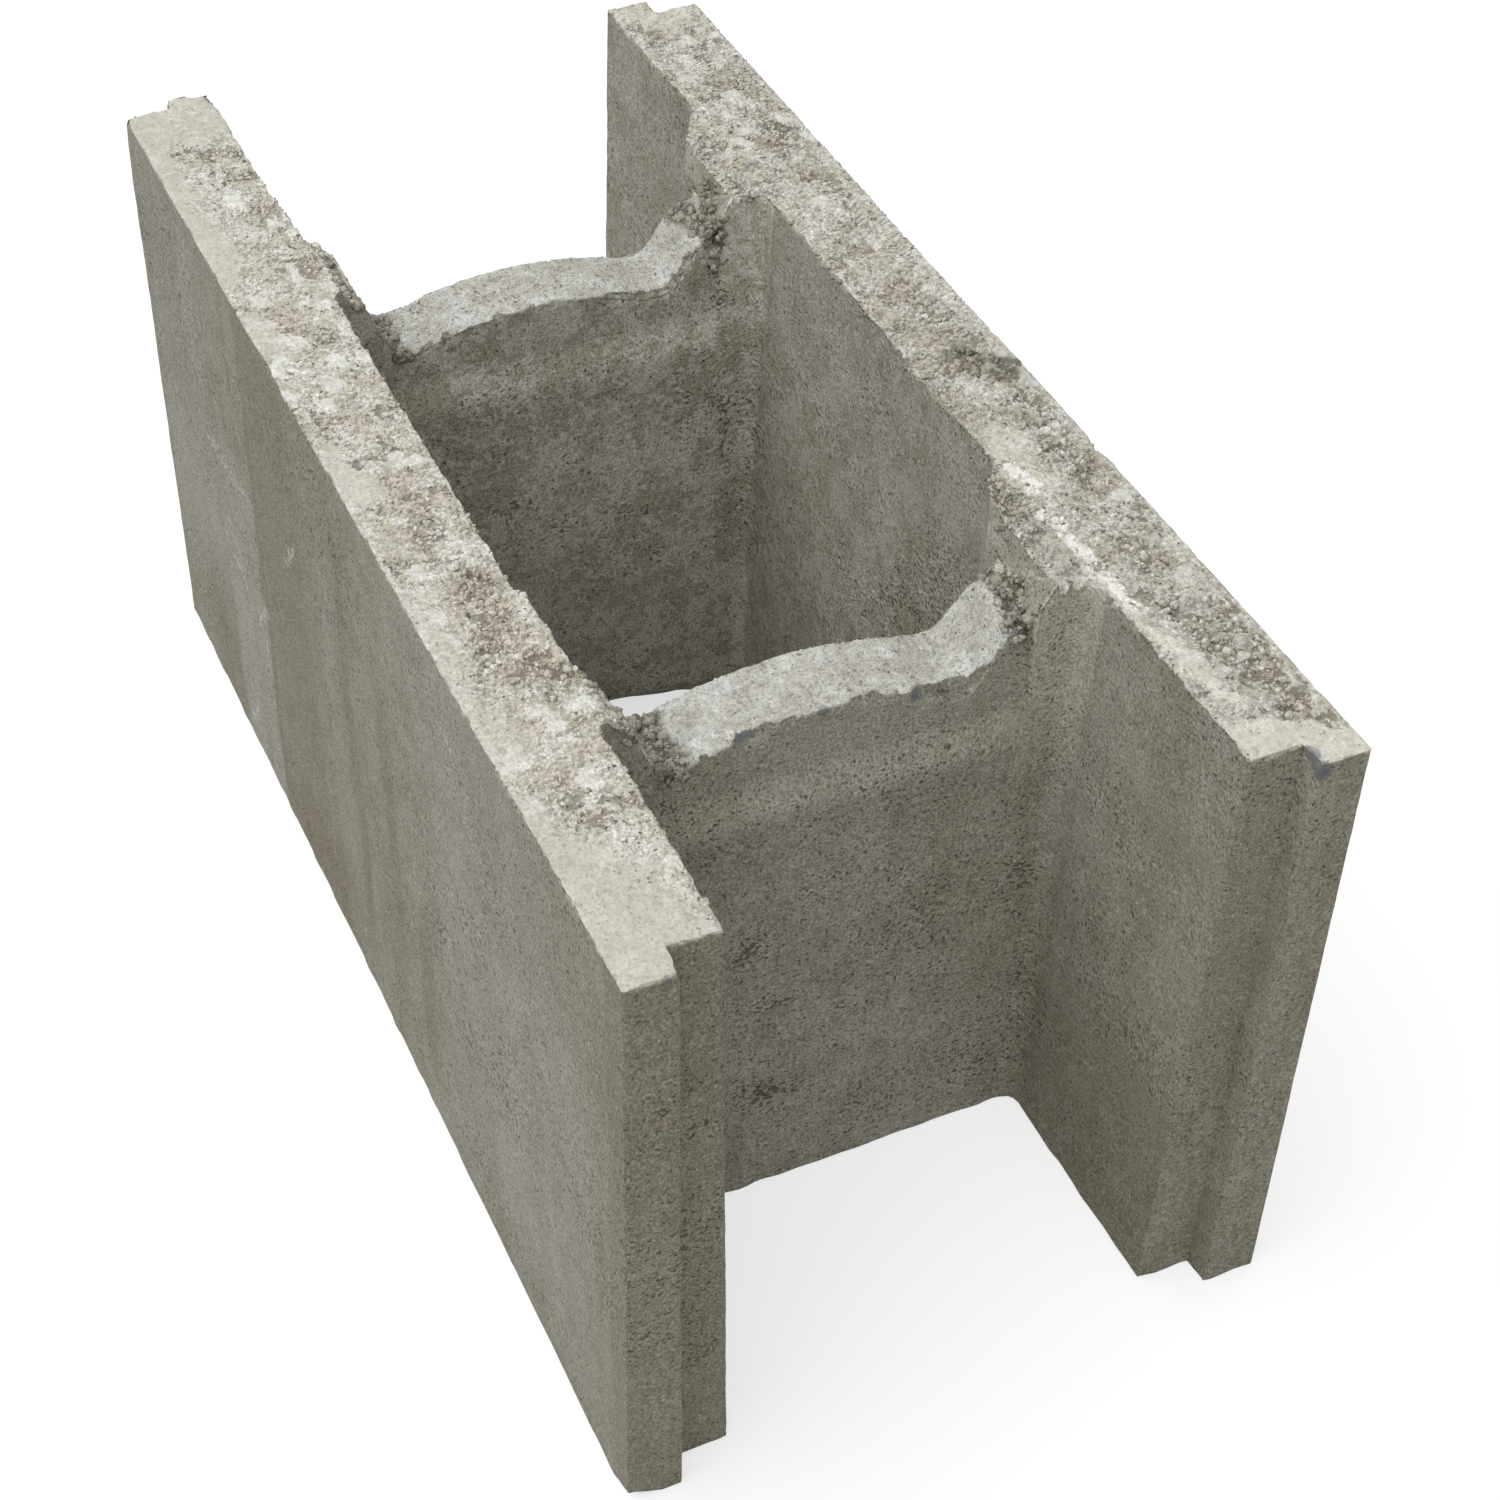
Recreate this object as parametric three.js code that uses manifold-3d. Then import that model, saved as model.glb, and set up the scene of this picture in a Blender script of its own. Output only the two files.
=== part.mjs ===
// A shuttering block: one hollow casting of dense concrete that is laid dry, locked to
// its neighbours by the steps in its wall ends, and filled with concrete on site.
// Two long walls are held apart by two cross webs. The web tops are sunk below the bed,
// so that bars can lie across them and the fill can run from cell to cell.
//
// Millimetres. +X runs along the block, +Y across it, +Z up.
// The origin is the middle of the underside that the block stands on.

import * as THREE from "three";
import { mergeVertices } from "three/addons/utils/BufferGeometryUtils.js";
import Module from "manifold-3d";

const wasm = await Module();
wasm.setup();

// ---- The block as a whole ----
const blockLength = 500;
const blockWidth = 240;
const blockHeight = 250;

// ---- Walls: the mould's cores narrow towards the foot, so the walls thicken there ----
const wallTop = 35.5;
const wallFoot = 41;

// ---- Steps that lock the wall ends: the outer half stands out at the +X end, ----
// ---- and the inner half at the -X end ----
const stepDepth = 10;
const stepTop = 18; // width of the outer half, at the top
const stepFoot = 20.5; // and at the foot

// ---- Webs: two alike, set about half a block apart, so that they stand over ----
// ---- each other when the courses are laid in half bond ----
const webInset = 102.5; // from the +X end to the face of the first web
const webPitch = 245;
const webThickness = 35.5;

// ---- Web tops: a low crown between two saddles, and a shoulder at each wall ----
const crownHeight = 223;
const crownRise = 7; // of the crown over the saddles
const saddleReach = 46; // from the middle of the web to a saddle
const shoulderReach = 62; // and to where the shoulder levels out
const shoulderHeight = 232.5;
const shelfHeight = 234; // where the shoulder meets the pier

// ---- Relief: the shallow band sunk into each web face under its top ----
const reliefDepth = 3;
const reliefFoot = 185;
const reliefTop = 198; // its lower edge slopes back between these heights
const reliefReach = 65; // from the middle of the web to the end of the band

// ---- Piers: upright thickenings of the walls that carry the webs' ends ----
const pierFace = 46.5; // wall and pier together
const pierBehind = 12.5; // how far a pier runs past the back of its web
const pierSlope = 19; // length of its sloped back flank, along the wall

// ---- Fillets of the cores' upright corners ----
const webFillet = 6;
const pierRounding = 2.5;

// ---- Working values ----
const arcSteps = 5; // segments in each quarter turn
const clearCut = 20; // how far a cut runs past the face that it opens

const endX = blockLength / 2;
const sideY = blockWidth / 2;
const pierY = sideY - pierFace;
const webFaces = [endX - webInset, endX - webInset - webPitch];

// A manifold solid from a three.js geometry.
function solid(geometry) {
  const bare = geometry.clone();
  bare.deleteAttribute("normal");
  bare.deleteAttribute("uv");
  const merged = mergeVertices(bare, 1e-4);
  return new wasm.Manifold(
    new wasm.Mesh({
      numProp: 3,
      vertProperties: merged.attributes.position.array,
      triVerts: new Uint32Array(merged.index.array),
    }),
  );
}

// A three.js geometry from a manifold solid.
function geometryOf(body) {
  const { vertProperties, triVerts } = body.getMesh();
  const geometry = new THREE.BufferGeometry();
  geometry.setAttribute("position", new THREE.BufferAttribute(vertProperties, 3));
  geometry.setIndex(new THREE.BufferAttribute(triVerts, 1));
  return geometry;
}

// A closed outline through corners [x, y, radius], each rounded by an arc of its radius.
function outline(corners) {
  const shape = new THREE.Shape();
  corners.forEach(([x, y, radius = 0], i) => {
    const corner = new THREE.Vector2(x, y);
    const before = new THREE.Vector2(...corners.at(i - 1)).sub(corner);
    const after = new THREE.Vector2(...corners[(i + 1) % corners.length]).sub(corner);
    if (radius === 0) {
      shape[i === 0 ? "moveTo" : "lineTo"](x, y);
      return;
    }
    const halfAngle = before.angleTo(after) / 2;
    const turnsLeft = before.cross(after) < 0;
    const inward = before.normalize().add(after.normalize()).normalize();
    const centre = inward.clone().multiplyScalar(radius / Math.sin(halfAngle)).add(corner);
    const middle = Math.atan2(-inward.y, -inward.x);
    const sweep = (turnsLeft ? 1 : -1) * (Math.PI / 2 - halfAngle);
    if (i > 0) {
      const start = middle - sweep;
      shape.lineTo(centre.x + radius * Math.cos(start), centre.y + radius * Math.sin(start));
    }
    shape.absarc(centre.x, centre.y, radius, middle - sweep, middle + sweep, !turnsLeft);
  });
  shape.closePath();
  return shape;
}

// A body whose outline changes evenly from its foot to its top.
function loft(footShape, topShape, footZ, topZ) {
  const foot = footShape.getPoints(arcSteps).slice(0, -1);
  const top = topShape.getPoints(arcSteps).slice(0, -1);
  const count = foot.length;
  const positions = [...foot.map((p) => [p.x, p.y, footZ]), ...top.map((p) => [p.x, p.y, topZ])];
  const index = [];
  for (let i = 0; i < count; i += 1) {
    const next = (i + 1) % count;
    index.push(i, next, next + count, i, next + count, i + count);
  }
  THREE.ShapeUtils.triangulateShape(foot, []).forEach(([a, b, c]) => index.push(c, b, a));
  THREE.ShapeUtils.triangulateShape(top, []).forEach((face) => index.push(...face.map((n) => n + count)));
  const geometry = new THREE.BufferGeometry();
  geometry.setAttribute("position", new THREE.Float32BufferAttribute(positions.flat(), 3));
  geometry.setIndex(index);
  return solid(geometry);
}

// Turns a drawing's x, y and depth into the block's Y, Z and X.
const crossways = new THREE.Matrix4().makeBasis(
  new THREE.Vector3(0, 1, 0),
  new THREE.Vector3(0, 0, 1),
  new THREE.Vector3(1, 0, 0),
);

// An outline drawn across the block, as (y, z), carried along X between two places.
function alongX(shape, fromX, toX) {
  const geometry = new THREE.ExtrudeGeometry(shape, {
    depth: toX - fromX,
    bevelEnabled: false,
    curveSegments: arcSteps * 4,
  });
  return solid(geometry.applyMatrix4(crossways).translate(fromX, 0, 0));
}

// An outline drawn along the block, as (x, z), carried across it by a half width each way.
function alongY(shape, halfWidth) {
  const geometry = new THREE.ExtrudeGeometry(shape, { depth: 2 * halfWidth, bevelEnabled: false });
  geometry.rotateX(Math.PI / 2).translate(0, halfWidth, 0);
  return solid(geometry);
}

// The inner face of a wall at a height: the walls are drafted in a straight line.
function wallFaceY(height) {
  return sideY - wallFoot + ((wallFoot - wallTop) * height) / blockHeight;
}

// The radius that a pier's short flank leaves room for.
function flankRadius(wallY) {
  return Math.min(pierRounding, Math.abs(wallY - pierY) / 3);
}

// The cell between the webs. Its back end is the square side of the piers at one web,
// and its front end the sloped side of the piers at the other.
function cellOutline(height) {
  const wallY = wallFaceY(height);
  const radius = flankRadius(wallY);
  const front = webFaces[0] - webThickness;
  const slopeStart = front - pierBehind;
  const back = webFaces[1];
  const half = [
    [front, pierY, webFillet],
    [slopeStart, pierY, radius],
    [slopeStart - pierSlope, wallY, radius],
    [back, wallY, webFillet],
  ];
  const mirrored = half.map(([x, y, r]) => [x, -y, r]).reverse();
  return outline([...half, ...mirrored]);
}

// The open channel at the +X end, from the first web's face to past the end.
function frontOutline(height) {
  const wallY = wallFaceY(height);
  const open = endX + clearCut;
  return outline([
    [open, wallY],
    [webFaces[0], wallY, webFillet],
    [webFaces[0], -wallY, webFillet],
    [open, -wallY],
  ]);
}

// The open channel at the -X end, behind the second web's piers.
function backOutline(height) {
  const wallY = wallFaceY(height);
  const radius = flankRadius(wallY);
  const front = webFaces[1] - webThickness;
  const slopeStart = front - pierBehind;
  const open = -endX - clearCut;
  const half = [
    [front, pierY, webFillet],
    [slopeStart, pierY, radius],
    [slopeStart - pierSlope, wallY, radius],
    [open, wallY],
  ];
  const mirrored = half.map(([x, y, r]) => [x, -y, r]).reverse();
  return outline([...half, ...mirrored]);
}

// A core through the full height, from its outline at any height.
function core(outlineAt) {
  const footZ = -clearCut;
  const topZ = blockHeight + clearCut;
  return loft(outlineAt(footZ), outlineAt(topZ), footZ, topZ);
}

// What is cut from the wall ends: between the outer halves at +X, and outside the inner
// halves at -X. The line between the halves leans as the walls do.
function endSteps() {
  const inner = (height) => sideY - stepFoot + ((stepFoot - stepTop) * height) / blockHeight;
  const [footZ, topZ] = [-clearCut, blockHeight + clearCut];
  const between = outline([
    [-inner(footZ), footZ],
    [inner(footZ), footZ],
    [inner(topZ), topZ],
    [-inner(topZ), topZ],
  ]);
  const outside = (side) =>
    outline([
      [side * (sideY + clearCut), footZ],
      [side * (sideY + clearCut), topZ],
      [side * inner(topZ), topZ],
      [side * inner(footZ), footZ],
    ]);
  return [
    alongX(between, endX - stepDepth, endX + clearCut),
    alongX(outside(1), -endX - clearCut, -endX + stepDepth),
    alongX(outside(-1), -endX - clearCut, -endX + stepDepth),
  ];
}

// The space over a web, down to its crowned top: an arc over the middle, a saddle at
// each side of it, and a shoulder that sweeps up to the pier.
function overWeb(faceX) {
  const saddleZ = crownHeight - crownRise;
  const radius = (saddleReach ** 2 + crownRise ** 2) / (2 * crownRise);
  const halfArc = Math.asin(saddleReach / radius);
  const sweep = (saddleReach + shoulderReach) / 2;
  const topZ = blockHeight + clearCut;
  const shape = new THREE.Shape();
  shape.moveTo(pierY, topZ);
  shape.lineTo(-pierY, topZ);
  shape.lineTo(-pierY, shelfHeight);
  shape.lineTo(-shoulderReach, shoulderHeight);
  shape.bezierCurveTo(-sweep, shoulderHeight, -sweep, saddleZ, -saddleReach, saddleZ);
  shape.absarc(0, crownHeight - radius, radius, Math.PI / 2 + halfArc, Math.PI / 2 - halfArc, true);
  shape.bezierCurveTo(sweep, saddleZ, sweep, shoulderHeight, shoulderReach, shoulderHeight);
  shape.lineTo(pierY, shelfHeight);
  shape.closePath();
  return alongX(shape, faceX - webThickness - pierBehind, faceX + webFillet);
}

// The shallow band sunk into one face of a web; side is 1 on the face towards +X.
function relief(faceX, side) {
  const bottomX = faceX - side * reliefDepth;
  const openX = faceX + side * webFillet;
  const topZ = blockHeight;
  const corners = [
    [faceX, reliefFoot],
    [openX, reliefFoot],
    [openX, topZ],
    [bottomX, topZ],
    [bottomX, reliefTop],
  ];
  return alongY(outline(side > 0 ? corners : corners.reverse()), reliefReach);
}

// The full block before its cores and steps are cut.
function blank() {
  const box = new THREE.BoxGeometry(blockLength, blockWidth, blockHeight);
  return solid(box.translate(0, 0, blockHeight / 2));
}

const cuts = [core(cellOutline), core(frontOutline), core(backOutline), ...endSteps()];
for (const faceX of webFaces) {
  cuts.push(overWeb(faceX), relief(faceX, 1), relief(faceX - webThickness, -1));
}
const casting = cuts.reduce((body, cut) => body.subtract(cut), blank());

const concrete = new THREE.MeshStandardMaterial({ color: 0x8f8a7e, roughness: 0.95, metalness: 0 });
const block = new THREE.Mesh(geometryOf(casting), concrete);
block.name = "shuttering_block";

const part = new THREE.Group();
part.add(block);

export default part;
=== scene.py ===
"""A shuttering block of dense concrete, dressed for a close look.

The casting is one closed surface. It is worked out in millimetres on grids: two wall
strips and two web patches seen from above, the same again for the underside, and
curtains that join the two all round. Lengths go into Blender in metres.
"""

import math

import bpy
import numpy as np
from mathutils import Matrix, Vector


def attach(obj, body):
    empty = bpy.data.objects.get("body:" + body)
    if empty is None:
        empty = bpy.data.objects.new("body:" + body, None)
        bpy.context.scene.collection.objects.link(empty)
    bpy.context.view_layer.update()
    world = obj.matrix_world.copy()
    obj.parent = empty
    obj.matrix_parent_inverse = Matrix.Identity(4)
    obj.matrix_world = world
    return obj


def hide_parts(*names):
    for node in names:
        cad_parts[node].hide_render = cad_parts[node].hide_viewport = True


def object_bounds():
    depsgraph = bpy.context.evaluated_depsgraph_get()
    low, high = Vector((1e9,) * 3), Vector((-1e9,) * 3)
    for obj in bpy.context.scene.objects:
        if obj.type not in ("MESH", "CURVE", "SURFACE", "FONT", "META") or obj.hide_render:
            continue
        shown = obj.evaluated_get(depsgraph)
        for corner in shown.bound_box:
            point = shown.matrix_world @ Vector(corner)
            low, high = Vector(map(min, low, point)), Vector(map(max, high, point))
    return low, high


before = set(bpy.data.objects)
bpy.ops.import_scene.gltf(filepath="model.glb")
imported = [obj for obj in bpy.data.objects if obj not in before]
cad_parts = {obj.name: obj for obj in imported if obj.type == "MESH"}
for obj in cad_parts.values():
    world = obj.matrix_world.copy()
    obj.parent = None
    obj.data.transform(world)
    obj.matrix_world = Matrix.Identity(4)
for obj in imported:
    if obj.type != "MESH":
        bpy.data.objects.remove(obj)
cad_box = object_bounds()

# ---- Sizes, in millimetres. The first three are the solid's own. ----
MILLIMETRES = 1000
HALF_LENGTH, HALF_WIDTH, HEIGHT = (round(MILLIMETRES * reach, 3) for reach in cad_box[1])
# Walls: how thick at the top and the foot, and the step in their ends.
WALL_TOP = 35.5
WALL_FOOT = 41
STEP_DEPTH = 10
STEP_TOP = 18
STEP_FOOT = 20.5
# Webs: where their fronts are, how much lower each stands, and the piers beside them.
WEB_FACES = (147.5, -97.5)
WEB_DROPS = (0, 2.5)
WEB_THICKNESS = 35.5
PIER = 73.5
PIER_BEHIND = 12.5
PIER_SLOPE = 19
FILLET = 6
# The height where a web's top meets a pier's face, and the band sunk into the web's faces.
SHELF = 234
RELIEF_DEPTH = 3
RELIEF_FOOT = 185
RELIEF_TOP = 198
# A web's top: the crown, the shoulder beside it at +Y and the torn facet over that, with how
# far off centre the press's shoe stood.
CROWN = 223.2
CROWN_FALL = 7.4
CROWN_REACH = 46
SHOULDER = 232.5
PRESS_OFFSET = 4
FACET_BACK = 77.3
FACET_TURN = 11.3
# How far every edge of a web's top stays under the wall's rim over it.
LIP = 0.4
# A face that looks up is a top and a rim is an upper one if they are above this height.
MIDWAY = 100
# How far inside the solid's outline the worn surface and the loose grains stay.
MARGIN = 0.05
GRAIN_MARGIN = 0.12

# ---- How the grids are divided ----
# Every run has an even count, because the columns are halved below the rim.
ACROSS = (10, 4, 10)
END_RUN = 14
END_REACH = 25
BACK_RUNS = (38, 14, 4, 26, 4, 6)
FRONT_RUNS = (108, 14, 4, 26, 4, 6)
CHANNEL_RUN = 44
OVER = 26
WEB_RUNS = (6, 2, 2, 80, 2, 2, 6)
RELIEF_LINES = (66.4, 64.8)
COARSE_TOP = 205
UNDER_SHELF = 10
OVER_SHELF = 9
# Points in the same step of a millimetre are one point. No axis has more steps than the span.
WELDS_PER_MM = 500
WELD_SPAN = 400000


# ---- Random fields ----

LATTICE = 64


def ramp(value, low, high):
    """A smooth rise from 0 at low to 1 at high: 3t^2 - 2t^3 of the share t between them."""
    t = np.clip((value - low) / (high - low), 0, 1)
    return t * t * (3 - 2 * t)


def band(value, rise, full, fall, gone):
    """1 between full and fall, easing to 0 at rise and at gone."""
    return ramp(value, rise, full) * (1 - ramp(value, fall, gone))


def noise(points, size, seed):
    """Smooth random values from -1 to 1: each point blends the random values at the eight
    corners of its cell in a cubic lattice of the given size, by 6t^5 - 15t^4 + 10t^3."""
    table = np.random.default_rng(seed).uniform(-1, 1, (LATTICE,) * 3)
    place = points / size
    base = np.floor(place).astype(int)
    t = place - base
    t = t ** 3 * (t * (6 * t - 15) + 10)
    total = np.zeros(len(points))
    for corner in np.ndindex(2, 2, 2):
        at = (base + corner) % LATTICE
        weight = np.prod(np.where(np.array(corner) == 1, t, 1 - t), axis=1)
        total += weight * table[at[:, 0], at[:, 1], at[:, 2]]
    return total


def fractal(points, size, seed, octaves=3):
    """Noise of a size, plus half as much at half the size, and so on."""
    return sum(noise(points, size / 2 ** k, seed + k) / 2 ** k for k in range(octaves))


def drift(points, size, seed):
    """Three noises side by side: a direction and length that change over a size."""
    return np.stack([noise(points, size, seed + k) for k in range(3)], axis=1)


def cells(points, size, seed):
    """For each point, its distances to the nearest and the second nearest of the seeds, one
    placed at random in each cell of a cubic lattice, as shares of the cell's size, and the
    nearest seed's random number."""
    rng = np.random.default_rng(seed)
    jitter = rng.uniform(0, 1, (LATTICE, LATTICE, LATTICE, 3))
    mark = rng.uniform(0, 1, (LATTICE,) * 3)
    place = points / size
    base = np.floor(place).astype(int)
    nearest, second, number = (np.full(len(points), start) for start in (8, 9, 0))
    for offset in np.ndindex(3, 3, 3):
        cell = base + np.array(offset) - 1
        at = tuple((cell % LATTICE).T)
        distance = np.linalg.norm(cell + jitter[at] - place, axis=1)
        closer = distance < nearest
        second = np.where(closer, nearest, np.minimum(second, distance))
        number = np.where(closer, mark[at], number)
        nearest = np.where(closer, distance, nearest)
    return nearest, second, number


# ---- Outlines in plan ----

def spread(count, ease=0.35):
    """count + 1 shares from 0 to 1, closer at both ends: s - ease sin(2 pi s) / (2 pi)."""
    s = np.linspace(0, 1, count + 1)
    return s - ease * np.sin(2 * np.pi * s) / (2 * np.pi)


def even(count):
    return np.linspace(0, 1, count + 1)


def leg(start, end, shares):
    """Points on a straight line at the given shares of the way from start to end."""
    start, end = np.array(start, float), np.array(end, float)
    return start + (end - start) * np.asarray(shares)[:, None]


def arc(centre, radius, start, end, count):
    """count + 1 points on an arc: the centre plus the radius times cosine and sine."""
    angle = np.radians(np.linspace(start, end, count + 1))
    return np.array(centre) + radius * np.stack([np.cos(angle), np.sin(angle)], axis=1)


def chain(*legs):
    """Runs of points joined end to end, each shared end kept once."""
    return np.concatenate([legs[0]] + [run[1:] for run in legs[1:]])


def path(corners, runs):
    """Straight legs from corner to corner, each with points at its run's shares."""
    return chain(*[leg(a, b, run) for a, b, run in zip(corners, corners[1:], runs)])


def turned(plan, side):
    """A plan drawn for the +Y wall, put on the wall at a side, 1 or -1."""
    return plan * np.array([1, side])


def wall_face(height):
    """How far a wall's inner face is from the middle: the walls thicken towards the foot."""
    return HALF_WIDTH - WALL_FOOT + (WALL_FOOT - WALL_TOP) * height / HEIGHT


def step_line(height):
    """How far the line between a wall end's two halves is from the middle."""
    return HALF_WIDTH - STEP_FOOT + (STEP_FOOT - STEP_TOP) * height / HEIGHT


def inner_edge(height):
    """The +Y wall's inner edge between the end runs, as (x, y): channel wall, sloped flank,
    pier, the stretch over the web, and the pier's square side with its fillet; the same
    again for the other web; and the channel wall at +X."""
    wall = wall_face(height)
    radius = min(FILLET, wall - PIER - 0.1)
    runs = []
    start = -HALF_LENGTH + END_REACH
    for face, counts in zip(WEB_FACES[::-1], (BACK_RUNS, FRONT_RUNS)):
        slope = face - WEB_THICKNESS - PIER_BEHIND
        corners = [
            (start, wall), (slope - PIER_SLOPE, wall), (slope, PIER),
            (face - WEB_THICKNESS - FILLET, PIER), (face, PIER), (face, wall - radius),
        ]
        cuts = [even(count) for count in counts[:-1]]
        cuts[3] = spread(counts[3])
        runs.append(path(corners, cuts))
        runs.append(arc((face + radius, wall - radius), radius, 180, 90, counts[-1]))
        start = face + radius
    runs.append(leg((start, wall), (HALF_LENGTH - END_REACH, wall), even(CHANNEL_RUN)))
    return chain(*runs)


def outer_edge():
    """The wall's outer edge over the same columns. Its columns keep level with the inner
    edge's, but give way near each pier's square side, where that edge turns across."""
    places, columns = [-HALF_LENGTH + END_REACH], [0]
    for face, counts in zip(WEB_FACES[::-1], (BACK_RUNS, FRONT_RUNS)):
        slope = face - WEB_THICKNESS - PIER_BEHIND
        pier_end = face - WEB_THICKNESS - FILLET
        places += [slope - PIER_SLOPE - 0.5, slope + 0.5, pier_end + 0.5]
        places += [face - 3, face - 0.5, face + 7.5]
        columns += list(columns[-1] + np.cumsum(counts))
    places.append(HALF_LENGTH - END_REACH)
    columns.append(columns[-1] + CHANNEL_RUN)
    x = np.interp(np.arange(columns[-1] + 1), columns, places)
    return np.stack([x, np.full(len(x), HALF_WIDTH)], axis=1)


def stepped_end(end_x, step_x, height):
    """A wall end from its outer corner to its inner one, round the step between them."""
    line, wall = step_line(height), wall_face(height)
    corners = [(end_x, HALF_WIDTH), (end_x, line), (step_x, line), (step_x, wall)]
    return path(corners, [spread(count) for count in ACROSS])


def across(first, last):
    """Shares of the way across a wall: the outer lines lie between 0 and first, the step's
    lines between first and last and the inner lines beyond, closer together at both rims."""
    outer, middle, inner = (even(count) for count in ACROSS)
    return np.concatenate([
        first * outer[:-1] ** 1.25,
        first + (last - first) * middle[:-1],
        1 - (1 - last) * (1 - inner) ** 1.25,
    ])


def wall_strip(height):
    """The +Y wall in plan, as a grid of columns along it and lines across it. Between the
    end runs each column is a straight line from the outer to the inner edge; in an end run
    the columns turn evenly into the stepped outline of the wall's end. The step's lines run
    nearer the inner edge at -X and nearer the outer edge at +X, so that they meet the step
    from the side where the concrete is."""
    inner, outer = inner_edge(height), outer_edge()
    along = even(len(inner) - 1)[:, None]
    share = (across(0.5, 0.8) * (1 - along) + across(0.2, 0.5) * along)[..., None]
    body = outer[:, None] * (1 - share) + inner[:, None] * share
    back = stepped_end(-HALF_LENGTH + STEP_DEPTH, -HALF_LENGTH, height)
    front = stepped_end(HALF_LENGTH, HALF_LENGTH - STEP_DEPTH, height)
    reach = (1 - (1 - even(END_RUN)) ** 1.3)[1:, None, None]
    back_run = body[0] + (back - body[0]) * reach[::-1]
    front_run = body[-1] + (front - body[-1]) * reach
    return np.concatenate([back_run, body, front_run])


def web_lines(face):
    """The web's back and front edges in plan from +Y to -Y, with the fillets that run into
    the piers at the back."""
    back, inset = face - WEB_THICKNESS, PIER - FILLET
    near, far = RELIEF_LINES
    stops = [PIER, inset, near, far, -far, -near, -inset, -PIER]
    cuts = [even(count) for count in WEB_RUNS]
    back_edge = chain(
        arc((back - FILLET, inset), FILLET, 90, 0, WEB_RUNS[0]),
        path([(back, y) for y in stops[1:-1]], cuts[1:-1]),
        arc((back - FILLET, -inset), FILLET, 0, -90, WEB_RUNS[-1]),
    )
    return back_edge, path([(face, y) for y in stops], cuts)


# ---- Heights and reliefs ----

def relief(y, z):
    """How deep the band under a web's top is sunk into its face: full depth between the
    band's ends and above its lower slope, and easing to nothing past them."""
    sides = ramp(-np.abs(y), -RELIEF_LINES[0], -RELIEF_LINES[1])
    return RELIEF_DEPTH * sides * np.clip((z - RELIEF_FOOT) / (RELIEF_TOP - RELIEF_FOOT), 0, 1)


def facet_foot(x, face):
    """How far from the middle the slanted facet over a web's +Y shoulder starts: from the
    pier at the web's back to the shoulder's crest at its front."""
    return FACET_BACK - FACET_TURN * np.clip((x - face + 29.5) / 26.5, 0, 1)


def web_height(x, y, face, drop):
    """A web's top. Over the middle it is a flat parabola, then a saddle at each side, all
    off centre, as the press's shoe stood. At +Y a shoulder sweeps up from the saddle, and a
    slanted facet rises through it. At -Y the shoulder is torn, and a steep bank climbs to
    the pier."""
    aside = np.clip(np.abs(y + 2 * PRESS_OFFSET) / CROWN_REACH, 0, 1)
    crown = CROWN - CROWN_FALL * aside ** 2 - drop
    reach = np.abs(y + PRESS_OFFSET)
    low = crown + (SHOULDER - drop - crown) * ramp(reach, 49, 66.5)
    facet = 233 + 1.65 * (reach - facet_foot(x, face))
    right = np.minimum(np.maximum(low, facet), HEIGHT - LIP)
    foot, bend = (58, 1.9) if drop == 0 else (61, 1.1)
    climb = np.clip((-y - foot) / (PIER - foot), 0, 1) ** bend
    left = crown + (broken_top(x, np.full(np.shape(x), -PIER)) - LIP - crown) * climb
    height = np.where(y > 0, right, left)
    return np.where(y >= PIER - 0.01, np.maximum(height, SHELF - LIP), height)


# Over the torn piers: distance from the web's face along the wall, height of the pier's top
# at its face, and how far from the middle the wall's full height ends.
BROKEN = {
    WEB_FACES[0]: (
        (-70, 250, 84.5), (-66, 226, 82.6), (-34, 226, 81.2), (-27, 236.6, 80.8),
        (-23.7, 239.8, 80.6), (-15, 241.2, 80.3), (-6.4, 243.1, 81), (0, 242.7, 81.7),
        (1.5, 245, 82), (5, 250, 83.5),
    ),
    WEB_FACES[1]: (
        (-70, 250, 84.5), (-66, 228, 83.7), (-55, 231.3, 83.5), (-43.7, 238.4, 83.4),
        (-33.6, 242.3, 82.6), (-25.6, 242.3, 81.6), (-14.5, 241.8, 81.6), (-3.5, 241.7, 82),
        (0, 242, 82), (1.5, 245, 82.4), (5, 250, 83.5),
    ),
}


def broken_top(x, y):
    """The -Y wall's top. Over each pier it drops from the full height, behind a line, down to
    a height at the pier's face that changes along it, as the square of the share between."""
    height = np.full(np.broadcast(x, y).shape, HEIGHT)
    for face, stops in BROKEN.items():
        places, levels, lines = np.array(stops).T
        level = np.interp(x - face, places, levels)
        line = np.interp(x - face, places, lines)
        share = np.clip((-y - PIER) / (line - PIER), 0, 1)
        height = height - (HEIGHT - level) * (1 - share ** 2)
    return height


def wall_top(x, y):
    """The walls' tops as cast: level at +Y, broken over the piers at -Y."""
    return np.where(y > 0, HEIGHT, broken_top(x, y))


def shelf_height(x, y):
    """The height at which an inner column's rows change from those under a web's shelf to
    those over it. It follows the web's side along a pier and settles back beyond it."""
    height = np.full(len(x), SHELF)
    for face, drop in zip(WEB_FACES, WEB_DROPS):
        past = np.hypot(x - face, np.abs(y) - PIER)
        if y[0] > 0:
            reach, before = 60, 0
            side = web_height(np.minimum(x, face), np.full(len(x), PIER), face, drop)
        else:
            reach, before = 75, 1 - ramp(x - face, -72, -62)
            side = broken_top(x, y) - LIP
        settle = np.where(x > face - 0.01, ramp(past, 0, 12), before)
        near = (x > face - reach) & (past < reach)
        height = np.where(near, side + (SHELF - side) * settle, height)
    return np.minimum(height, wall_top(x, y) - LIP)


# ---- Patches ----

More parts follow.
